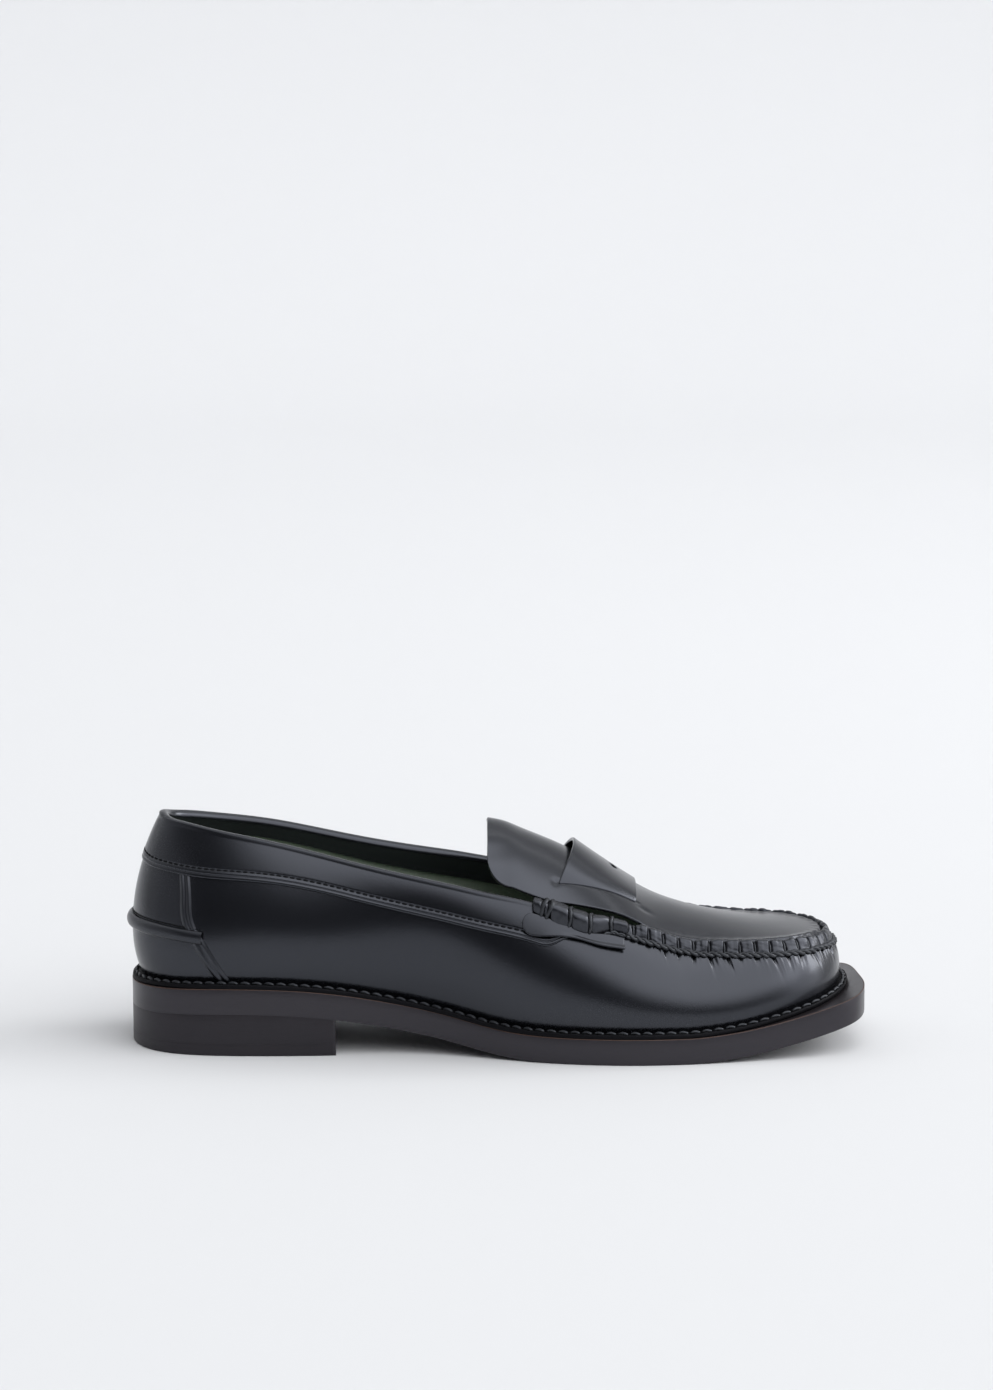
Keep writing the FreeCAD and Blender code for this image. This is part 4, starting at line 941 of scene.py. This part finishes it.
def make_strap():
    a = np.linspace(0, 1, 60)[:, None]
    b = np.linspace(-1, 1, 190)[None, :]
    b = np.sign(b) * (1 - (1 - np.abs(b)) ** 1.4)
    rear = lerp(STRAP["rear_crest"], STRAP["rear_edge"], np.abs(b) ** 2.2)
    x = lerp(rear, STRAP["front"] + 0 * b, a)
    y = b * (lerp(STRAP["half_rear"], STRAP["half_front"], a) + 0.25) + CREST_Y
    lift = strap_lift(a, b) + 0.08 * swell(plug_point(x, y), 20, 61)
    near, far = plug(x, y, lift + STRAP["thick"]), plug(x, y, lift)
    near, far = pillow(near, far, "uUvV", 0.3)
    strap = Mesh().grid(near).grid(far).finish("saddle_strap", material("upper"), ["penny_strap"],
                                               slot="upper_leather")
    cut_slot(strap)


def cut_slot(strap):
    """The lens-shaped slot across the strap's crest."""
    lens = Mesh()
    v = np.linspace(-1, 1, 25)
    bow, across = SLOT_HALF_LONG * (1 - v ** 2), SLOT_Y + SLOT_HALF_ACROSS * v
    rim = np.concatenate([stack(SLOT_X + bow, across), stack(SLOT_X - bow[::-1], across[::-1])[1:-1]])
    columns = np.stack([stack(rim[:, 0], rim[:, 1], np.full(len(rim), z)) for z in (50.0, 80.0)], 1)
    lens.grid(columns, around_u=True)
    for k in (0, 1):
        ring = columns[:, k]
        lens.grid(np.stack([ring, np.broadcast_to(ring.mean(0), ring.shape)], 1), around_u=True)
    cutter = lens.finish("slot_cutter", material("upper"), body=None)
    modifier = strap.modifiers.new("slot", "BOOLEAN")
    modifier.object, modifier.operation, modifier.solver = cutter, "DIFFERENCE", "EXACT"
    bpy.context.view_layer.update()
    graph = bpy.context.evaluated_depsgraph_get()
    mesh = bpy.data.meshes.new_from_object(strap.evaluated_get(graph))
    strap.modifiers.clear()
    strap.data = mesh
    bpy.data.objects.remove(cutter)


# ---- Rolls, tabs and collar ----------------------------------------------------------------------
WINDINGS = (154.3, 156.6, 164.2, 171.4, 179.0)  # where the roll is bound
ROLL_REAR, ROLL_FRONT = 151.2, 186.0


def roll_frame(x, inner):
    """Centre line of a roll at x, with its outward direction and its two radii."""
    ts = np.linspace(6.0, 12.0, 200)
    t = np.interp(x, edge_point(ts, 4)[:, 0], ts)
    if inner:
        ts = COUNT - ts
        t = np.interp(x, edge_point(ts, 4)[:, 0], ts)
    forward = smooth(169.0, 182.0, x)
    away = lerp(1.5, -1.5, forward)
    plan, step = edge_point(t, 4, away), edge_point(t, 4, away + 1.0)
    row = around(t)
    centre = stack(plan[..., 0], plan[..., 1], sole_top(row[..., 2]) + row[..., 6] + 2.3 * forward - 0.1)
    rear = lerp(0.72, 1.0, smooth(ROLL_REAR, ROLL_REAR + 7, x))
    return (centre, stack(step[..., 0] - plan[..., 0], step[..., 1] - plan[..., 1], 0 * x),
            lerp(4.1, 2.5, forward) * rear, lerp(4.35, 2.5, forward) * rear)


def pinch(x):
    return sum(np.exp(-((x - w) / 0.6) ** 2) for w in WINDINGS)


def squircle(angle, power):
    return 1 / (np.abs(np.cos(angle)) ** power + np.abs(np.sin(angle)) ** power) ** (1 / power)


def make_rolls():
    for inner, side in ((False, "outer"), (True, "inner")):
        x = np.concatenate([ROLL_REAR - np.array([0.9, 0.86, 0.7, 0.4]),
                            np.linspace(ROLL_REAR, ROLL_FRONT, 300)])
        ends = np.array([0.02, 0.4, 0.72, 0.92] + [1.0] * 300)
        ends = ends * np.sqrt(np.clip((ROLL_FRONT + 0.02 - x) / 1.2, 0.0, 1))
        centre, out, wide, high = roll_frame(x, inner)
        angle = np.linspace(0, 2 * math.pi, 72, endpoint=False)
        marks = (ROLL_REAR - 1,) + WINDINGS + (ROLL_FRONT + 1,)
        lump = np.abs(np.sin(math.pi * np.interp(x, marks, range(len(marks))))) ** 0.45
        swollen = ends * (0.86 - 0.16 * pinch(x) + 0.14 * lump)
        r = swollen[:, None] * squircle(angle, 2.9)[None, :]
        g = centre[:, None] + out[:, None] * (r * wide[:, None] * np.cos(angle))[..., None]
        g[..., 2] += r * high[:, None] * np.sin(angle)
        wrinkle = 0.12 * swell(g, 2.2, 71) * (0.3 + pinch(x)[:, None]) + 0.16 * swell(g, 6, 72)
        g = g + unit(g - centre[:, None] + 1e-6) * (wrinkle * ends[:, None])[..., None]
        Mesh().grid(g, around_v=True).finish("roll_" + side, material("gathers"),
                                             ["beef_roll_" + side], slot="upper_leather")
        threads = Mesh()
        for k, w in enumerate(WINDINGS):
            turn = np.linspace(0, 2 * math.pi, 72)
            lean = 1.3 if k < 2 else 0.3
            c, o, wide, high = roll_frame(w + lean * np.sin(turn) + 0.25 * np.sin(3 * turn + w), inner)
            r = 0.80 * squircle(turn, 2.9)
            ring = c + o * (r * wide * np.cos(turn) + 0.3 * np.cos(turn))[:, None]
            ring[:, 2] += r * high * np.sin(turn) + 0.45 * np.sin(turn)
            cord(threads, ring, 0.78 if k < 2 else 0.62, 10, up=(1, 0, -0.4), ends=False, twist=0.5)
        foot = np.linspace(ROLL_REAR + 1.0, ROLL_FRONT + 1.5, 150)
        c, o, wide, high = roll_frame(foot, inner)
        wave = np.abs(np.sin(math.pi * np.interp(foot, marks, range(len(marks)))))
        for up, radius in ((0.35, 0.55), (-0.35, 0.6)):
            path = c + o * (wide * 0.62 + 0.5)[:, None]
            path[:, 2] -= high * 0.86 + 0.1 + 0.55 * wave - up * np.cos(foot * 1.1)
            cord(threads, path, radius, 10, twist=0.5)
        threads.finish("roll_windings_" + side, material("thread"), ["roll_binding_" + side],
                       slot="waxed_thread")
        make_tab(inner, side)


# distance from the heel's back, and depth below the top line
TAIL_LOW_EDGE = [(146.0, 10.2), (149.8, 10.4), (155.9, 9.0), (161.4, 7.3), (165.7, 6.5),
                 (169.4, 6.2), (173.6, 6.2), (177.9, 5.9), (183.5, 5.3)]
TAIL_REAR, TAIL_ROUND, TAIL_FRONT = 146.7, 150.2, 183.3
TAIL_ROUND_RADIUS, TAIL_MIDDLE = 3.52, 7.0


def make_tab(inner, side):
    """The tail of the roll's leather, which lies over the collar's front end."""
    low = natural_spline(TAIL_LOW_EDGE)
    x = np.linspace(TAIL_REAR, TAIL_FRONT, 120)
    t = np.array([station_at(v, 0.88, inner) for v in x])
    share = np.linspace(0, 1, 26)
    past = (TAIL_ROUND - np.minimum(x, TAIL_ROUND)) / TAIL_ROUND_RADIUS
    round_end = np.sqrt(np.clip(1 - past ** 2, 0, 1))
    top_depth = lerp(3.6, 2.2, smooth(168, 180, x))
    top_depth = np.where(x < TAIL_ROUND, TAIL_MIDDLE - (TAIL_MIDDLE - top_depth) * round_end, top_depth)
    low_depth = np.where(x < TAIL_ROUND, TAIL_MIDDLE + (low(x) - TAIL_MIDDLE) * round_end, low(x))
    depth = lerp(top_depth[:, None], low_depth[:, None], share[None])
    f = 1 - depth / height_of(t)[:, None]
    T = np.broadcast_to(t[:, None], f.shape)
    base = wall(T, f)
    rise = lerp(1.25, 0.55, smooth(160, 172, x))[:, None] + 0.15 * swell(base, 11, 81)
    rise = rise + 0.5 * smooth(0.6, 1.0, share)[None] * smooth(158, 168, x)[:, None]
    near, far = wall(T, f, rise + 1.15), wall(T, f, rise)
    near, far = pillow(near, far, "uUvV", 0.3)
    Mesh().grid(near).grid(far).finish("roll_tail_" + side, material("trim"), ["roll_tab_" + side],
                                       slot="upper_leather")


def strip_depth(t):
    """Depth of the collar strip below the top line."""
    away = np.minimum(t % COUNT, COUNT - t % COUNT)
    depth = lerp(12.6, 17.0, 1 - smooth(2.0, 5.0, away))
    return depth - 6.4 * smooth(8.15, 8.85, away) ** 1.5


COLLAR_END = 8.8  # station where the collar strip ends, counted from the back
FOLD_RADIUS = 2.15
COLLAR_STITCH_LINE, FINE_THREAD_RADIUS = 2.9, 0.28


def make_collar():
    t = np.linspace(-COLLAR_END, COLLAR_END, 620)[:, None]
    height = height_of(t)
    foot = 1 - strip_depth(t) / height
    down = np.concatenate([np.linspace(0, 0.27, 30)[:-1], np.linspace(0.27, 1, 18)])[None, :]
    f = lerp(foot, 0.975, down)
    depth_mm = (f - foot) * height
    puff = (0.10 * np.exp(-((depth_mm - 0.45) / 0.45) ** 2) + 0.16 * np.exp(-((depth_mm - 1.7) / 0.5) ** 2)
            - 0.15 * np.exp(-((depth_mm - 1.1) / 0.18) ** 2) - 0.32 * np.exp(-((depth_mm - 2.9) / 0.3) ** 2))
    base = wall(t + 0 * f, f)
    outer = wall(t + 0 * f, f, 0.8 + puff + 0.14 * swell(base, 34, 91))
    rim = wall(t, 0 * t + 0.985, -0.95 + 0 * t)
    side = wall(t, 0 * t + 0.985, 0.05 + 0 * t) - rim
    up = np.array([0, 0, 1.0]) - side * side[..., 2:3]
    up = unit(up)
    angle = np.linspace(0.12, math.pi - 0.12, 15)[None, :, None]
    fold = rim + (side * np.cos(angle) * FOLD_RADIUS + up * np.sin(angle) * FOLD_RADIUS * 0.85)
    turned = lerp(5.0, 8.0, smooth(3.5, 6.5, np.abs(t))) / height
    g = np.linspace(0, 1, 16)[None, :]
    inner_f = lerp(0.972 + 0 * height, 0.985 - turned, g)
    inner = wall(t + 0 * g, inner_f, -3.1 + 0.1 * swell(wall(t + 0 * g, inner_f), 26, 92))
    near = np.concatenate([outer, fold, inner], 1)
    far = np.concatenate([wall(t + 0 * f, f, 0 * f), np.broadcast_to(rim, fold.shape),
                          wall(t + 0 * g, inner_f, -2.3 + 0 * g)], 1)
    near, far = pillow(near, far, "uUvV", 0.35)
    Mesh().grid(near).grid(far).finish("collar_band", material("upper"), ["collar_strip"],
                                       slot="upper_leather")
    make_collar_stitches()


def stitch_line(t):
    """The seam along the collar's lower edge."""
    return wall(t, 1 - (strip_depth(t) - COLLAR_STITCH_LINE) / height_of(t), 0.58 + 0 * t)


def make_collar_stitches():
    pitch = bpy.context.scene.loafer_sizes.fine_pitch
    line_t = np.linspace(-8.0, 8.0, 4000)
    reach = arc_length(stitch_line(line_t))
    stitches = Mesh()
    for i in range(int(reach[-1] / pitch)):
        s = (i + np.linspace(0.12, 0.88, 6)) * pitch
        cord(stitches, stitch_line(np.interp(s, reach, line_t)), FINE_THREAD_RADIUS, 6)
    stitches.finish("collar_stitches", material("fine thread"), ["collar_thread"], slot="fine_thread")


LINING_DEPTH, STIFFENER_ROOM = -2.0, 1.2


def make_lining():
    """Lining behind the whole wall, deeper where the heel stiffener and the toe puff lie."""
    t = np.linspace(0, COUNT, 500, endpoint=False)[:, None]
    f = np.linspace(0.05, 0.965, 40)[None, :]
    base = wall(t + 0 * f, f)
    behind = smooth(SEAM_START - 1.6, SEAM_START, t) * smooth(SEAM_START - 1.6, SEAM_START, COUNT - t)
    away = np.minimum(t, COUNT - t)
    heel = (1 - smooth(3.6, 4.6, away)) * (1 - smooth(0.6, 0.8, f))
    toe = (1 - smooth(3.6, 4.6, abs(t - TOE))) + 0 * f
    out = (LINING_DEPTH + 0.25 * swell(base, 30, 95) - 0.5 * behind
           - STIFFENER_ROOM * np.maximum(heel, toe))
    Mesh().grid(wall(t + 0 * f, f, out), around_u=True).finish(
        "shoe_lining", material("lining"), ["quarter_lining", "vamp_lining"], slot="lining_leather")


def make_sock():
    """Sock leather over the insole, a little cushioned at the heel."""
    inset = 3.2
    n = 200
    ts = np.linspace(0, TOE, n)
    a, b = edge_point(ts, 2, -inset), edge_point(COUNT - ts, 2, -inset)
    share = np.linspace(0, 1, 50)
    across = lerp(a[:, None], b[:, None], share[None, :, None])
    x, y = across[..., 0], across[..., 1]
    rim = np.minimum(share, 1 - share)[None, :] * np.linalg.norm(a - b, axis=1)[:, None]
    lift = 5.0 + 0.9 * smooth(0, 14, rim) + 0.8 * smooth(90, 40, x)
    g = stack(x, y, sole_top(x) + lift)
    g[..., 2] += 0.25 * swell(g, 22, 97)
    Mesh().grid(g).finish("sock_leather", material("sock"), ["sock_liner"], slot="sock_leather")


BEAD_END, BEAD_HALF_WIDTH, BACK_HEIGHT = 2.86, 2.35, 58.0
SEAM_STRIP_SPAN, SEAM_STRIP_HALF = (0.03, 0.735), 1.6
SEAM_STATION_LONG = 11.5  # millimetres from one station to the next, at the side seams


def make_heel_trim():
    """Rolled bead across the back, and the double strip over each side seam."""
    t = np.linspace(-BEAD_END, BEAD_END, 260)[:, None]
    level = bead_level(np.abs(t))
    angle = np.linspace(-1.45, math.pi + 1.45, 30)[None, :]
    taper = lerp(0.72, 1, smooth(BEAD_END, 2.3, np.abs(t)))
    base = wall(t + 0 * angle, level + 0 * angle)
    r = 1 + 0.05 * swell(base, 13, 99)
    f = level - BEAD_HALF_WIDTH * np.cos(angle) / BACK_HEIGHT * r
    out = 0.5 + 1.65 * np.sin(angle) * r * taper
    Mesh().grid(wall(t + 0 * angle, f, out)).finish("back_roll", material("trim"), ["back_bead"],
                                                    slot="upper_leather")
    t = np.linspace(-2.8, 2.8, 240)
    piping = Mesh()
    cord(piping, wall(t, bead_level(np.abs(t)) + 0.052, np.full(240, 0.1)), FINE_THREAD_RADIUS, 6)
    piping.finish("back_roll_stitching", material("fine thread"), slot="fine_thread")
    for inner, side in ((False, "outer"), (True, "inner")):
        f = np.linspace(*SEAM_STRIP_SPAN, 120)
        t = seam_station(f, inner)
        across = np.linspace(-1, 1, 31)
        lobes = (0.85 * np.exp(-((across + 0.45) / 0.36) ** 2) + 0.6 * np.exp(-((across - 0.5) / 0.3) ** 2)
                 + 0.25 * np.clip(1 - across ** 4, 0, 1))
        width = SEAM_STRIP_HALF * lerp(0.8, 1.0, smooth(0.0, 0.3, f))
        flip = -1 if inner else 1
        T = t[:, None] + across[None] * flip * width[:, None] * (1 / SEAM_STATION_LONG)
        F = np.broadcast_to(f[:, None], T.shape)
        out = 0.1 + lobes[None] * 0.5 + 0.05 * swell(wall(T, F), 7, 101)
        near, far = wall(T, F, out), wall(T, F, -0.3 + 0 * T)
        near, far = pillow(near, far, "uU", 0.1)
        Mesh().grid(near).grid(far).finish("side_seam_" + side, material("trim"),
                                           ["side_seam_strip_" + side], slot="upper_leather")


def paint_hidden():
    for node, name in (("cork_filler", "cork"), ("shank", "steel"), ("insole", "board"),
                       ("heel_nails", "steel"), ("heel_stiffener", "board"), ("toe_puff", "board")):
        finish_of(node, name)


# ---- Studio --------------------------------------------------------------------------------------
CAMERA_PLACE = (137.34, -1462.3, 358.5)
CAMERA_PITCH, CAMERA_ROLL = math.radians(8.9), -0.0043
LENS = 102.95
PALE_AIR = (0.80, 0.82, 0.84, 1)
# direction, the cosines at which the light begins and is full, colour
SOFT_LIGHTS = [((0.42, -0.62, 0.95), 0.72, 0.93, (2.05, 2.06, 2.09)),
               ((1.0, -0.28, 0.34), 0.80, 0.97, (1.6, 1.61, 1.65)),
               ((-0.95, -0.36, 0.16), 0.84, 0.97, (0.34, 0.34, 0.35))]


FLOOR_FRONT, FLOOR_BACK, FLOOR_BEND = -5000, 2600, 1500
FLOOR_HALF_WIDTH, WALL_TOP = 6000, 5000
# name, place and target, width and depth in metres, power in watts
LAMPS = [("backdrop_wash", (200, 1700, 3300), (0, 4.1, 1.3), 4.0, 1.2, 15.0),
         ("right_fill", (2600, 400, 1500), (0.4, 0.3, 0), 1.4, 1.4, 30.0)]


def make_stage():
    look = bpy.context.scene.loafer_finish
    sweep = Mesh()
    bend = np.linspace(0.05, math.pi / 2, 30)
    y = np.concatenate([np.linspace(FLOOR_FRONT, FLOOR_BACK, 24), FLOOR_BACK + FLOOR_BEND * np.sin(bend),
                        np.full(8, FLOOR_BACK + FLOOR_BEND)])
    z = np.concatenate([np.zeros(24), FLOOR_BEND - FLOOR_BEND * np.cos(bend),
                        np.linspace(FLOOR_BEND + 100, WALL_TOP, 8)])
    x = np.linspace(-FLOOR_HALF_WIDTH, FLOOR_HALF_WIDTH, 24)
    sweep.grid(stack(x[:, None] + 0 * y[None], y[None] + 0 * x[:, None], z[None] + 0 * x[:, None]))
    r = Recipe("studio sweep", Specular_IOR_Level=0.1)
    mottle = r.noise(1.5, 3)
    colour = tuple(look.floor_colour)
    r.feed(Base_Color=r.between(mottle, shade(colour, 0.995), shade(colour, 1.005)),
           Roughness=0.9 + mottle * 0.05)
    floor = sweep.finish("studio_floor", r.material, body=None, weld=0.0001)
    for name, place, target, wide, deep, power in LAMPS:
        data = bpy.data.lights.new(name, "AREA")
        data.shape, data.size, data.size_y, data.energy = "RECTANGLE", wide, deep, power
        lamp = bpy.data.objects.new(name, data)
        bpy.context.scene.collection.objects.link(lamp)
        lamp.location = (np.array(place) + SHIFT) * MM
        lamp.rotation_euler = (Vector(target) - lamp.location).to_track_quat("-Z", "Y").to_euler()
    air = Recipe("studio air", "worlds", "Background", "Generated", Strength=1.0)
    high = air.add("ShaderNodeSeparateXYZ", None, {0: air.place}, "Z")
    behind = air.add("ShaderNodeSeparateXYZ", None, {0: air.place}, "Y")
    room = air.between(air.band(high * 0.5 + behind, -0.2, 0.7), (0.055, 0.057, 0.063), (0.80, 0.81, 0.82))
    light = room
    for direction, low, full, colour in SOFT_LIGHTS:
        towards = air.add("ShaderNodeVectorMath", {"operation": "DOT_PRODUCT"},
                          {0: air.place, 1: Vector(direction).normalized()}, "Value")
        lit = air.between(air.band(towards, low, full), (0, 0, 0), colour)
        light = air.add("ShaderNodeMix", {"data_type": "RGBA", "blend_type": "ADD"},
                        {0: 1.0, 6: light, 7: lit}, 2)
    seen = air.add("ShaderNodeLightPath", output="Is Camera Ray")
    air.feed(Color=air.add("ShaderNodeMix", {"data_type": "RGBA"}, {0: seen, 6: light, 7: PALE_AIR}, 2))
    bpy.context.scene.world = air.material
    data = bpy.data.cameras.new("camera")
    data.lens, data.sensor_width, data.clip_end = LENS, 36, 50
    camera = bpy.data.objects.new("camera", data)
    bpy.context.scene.collection.objects.link(camera)
    level = Matrix.Rotation(math.pi / 2 - CAMERA_PITCH, 4, "X")
    roll = Matrix.Rotation(CAMERA_ROLL, 4, "Z")
    camera.matrix_world = Matrix.Translation((np.array(CAMERA_PLACE) + SHIFT) * MM) @ level @ roll
    bpy.context.scene.camera = camera
    bpy.context.scene.view_settings.view_transform = "Standard"


# ---- Operators and panel -------------------------------------------------------------------------
class LOAFER_OT_stage(bpy.types.Operator):
    """Make the floor, the lights and the camera"""
    bl_idname = "loafer.stage"
    bl_label = "Studio"

    def execute(self, context):
        make_stage()
        return {"FINISHED"}


class LOAFER_OT_bottom(bpy.types.Operator):
    """Make the outsole, the midsole and the bare leather line"""
    bl_idname = "loafer.bottom"
    bl_label = "Sole"

    def execute(self, context):
        make_bottom()
        return {"FINISHED"}


class LOAFER_OT_heel(bpy.types.Operator):
    """Make the rubber top piece and the lifts"""
    bl_idname = "loafer.heel"
    bl_label = "Heel"

    def execute(self, context):
        make_heel()
        return {"FINISHED"}


class LOAFER_OT_welt(bpy.types.Operator):
    """Make the welt and its stitches"""
    bl_idname = "loafer.welt"
    bl_label = "Welt"

    def execute(self, context):
        make_welt()
        return {"FINISHED"}


class LOAFER_OT_walls(bpy.types.Operator):
    """Make the vamp wall and the back panels"""
    bl_idname = "loafer.walls"
    bl_label = "Walls"

    def execute(self, context):
        make_walls()
        return {"FINISHED"}


class LOAFER_OT_gathers(bpy.types.Operator):
    """Make the gathered edge and its thread"""
    bl_idname = "loafer.gathers"
    bl_label = "Gathered edge"

    def execute(self, context):
        make_gathered_edge()
        return {"FINISHED"}


class LOAFER_OT_plug(bpy.types.Operator):
    """Make the apron and the tongue as one skin"""
    bl_idname = "loafer.plug"
    bl_label = "Apron and tongue"

    def execute(self, context):
        make_plug()
        return {"FINISHED"}


class LOAFER_OT_strap(bpy.types.Operator):
    """Make the slotted strap"""
    bl_idname = "loafer.strap"
    bl_label = "Strap"

    def execute(self, context):
        make_strap()
        return {"FINISHED"}


class LOAFER_OT_rolls(bpy.types.Operator):
    """Make the rolls, their windings and tails"""
    bl_idname = "loafer.rolls"
    bl_label = "Rolls"

    def execute(self, context):
        make_rolls()
        return {"FINISHED"}


class LOAFER_OT_collar(bpy.types.Operator):
    """Make the collar band and its stitches"""
    bl_idname = "loafer.collar"
    bl_label = "Collar"

    def execute(self, context):
        make_collar()
        return {"FINISHED"}


class LOAFER_OT_heel_trim(bpy.types.Operator):
    """Make the bead and the side seam strips"""
    bl_idname = "loafer.heel_trim"
    bl_label = "Heel trim"

    def execute(self, context):
        make_heel_trim()
        return {"FINISHED"}


class LOAFER_OT_lining(bpy.types.Operator):
    """Make the lining"""
    bl_idname = "loafer.lining"
    bl_label = "Lining"

    def execute(self, context):
        make_lining()
        return {"FINISHED"}


class LOAFER_OT_sock(bpy.types.Operator):
    """Make the sock leather"""
    bl_idname = "loafer.sock"
    bl_label = "Sock"

    def execute(self, context):
        make_sock()
        return {"FINISHED"}


class LOAFER_OT_hidden(bpy.types.Operator):
    """Paint the pieces inside the bottom"""
    bl_idname = "loafer.hidden"
    bl_label = "Hidden pieces"

    def execute(self, context):
        paint_hidden()
        return {"FINISHED"}


OPERATORS = [LOAFER_OT_stage, LOAFER_OT_bottom, LOAFER_OT_heel, LOAFER_OT_welt,
             LOAFER_OT_walls, LOAFER_OT_gathers, LOAFER_OT_plug, LOAFER_OT_strap,
             LOAFER_OT_rolls, LOAFER_OT_collar, LOAFER_OT_heel_trim,
             LOAFER_OT_lining, LOAFER_OT_sock, LOAFER_OT_hidden]


class LOAFER_PT_panel(bpy.types.Panel):
    """Settings and pieces of the loafer"""
    bl_label = "Penny Loafer"
    bl_idname = "LOAFER_PT_panel"
    bl_space_type = "VIEW_3D"
    bl_region_type = "UI"
    bl_category = "Loafer"

    def draw(self, context):
        for group in (context.scene.loafer_sizes, context.scene.loafer_finish):
            for name in group.bl_rna.properties.keys():
                if name not in ("rna_type", "name"):
                    self.layout.prop(group, name)
        for maker in OPERATORS:
            self.layout.operator(maker.bl_idname)


CLASSES = [LoaferSizes, LoaferFinish, *OPERATORS, LOAFER_PT_panel]


def register():
    for cls in CLASSES:
        bpy.utils.register_class(cls)
    bpy.types.Scene.loafer_sizes = PointerProperty(type=LoaferSizes)
    bpy.types.Scene.loafer_finish = PointerProperty(type=LoaferFinish)


def unregister():
    del bpy.types.Scene.loafer_sizes
    del bpy.types.Scene.loafer_finish
    for cls in reversed(CLASSES):
        bpy.utils.unregister_class(cls)


def main():
    register()
    for maker in OPERATORS:
        group, name = maker.bl_idname.split(".")
        getattr(getattr(bpy.ops, group), name)()


if __name__ == "__main__":
    main()
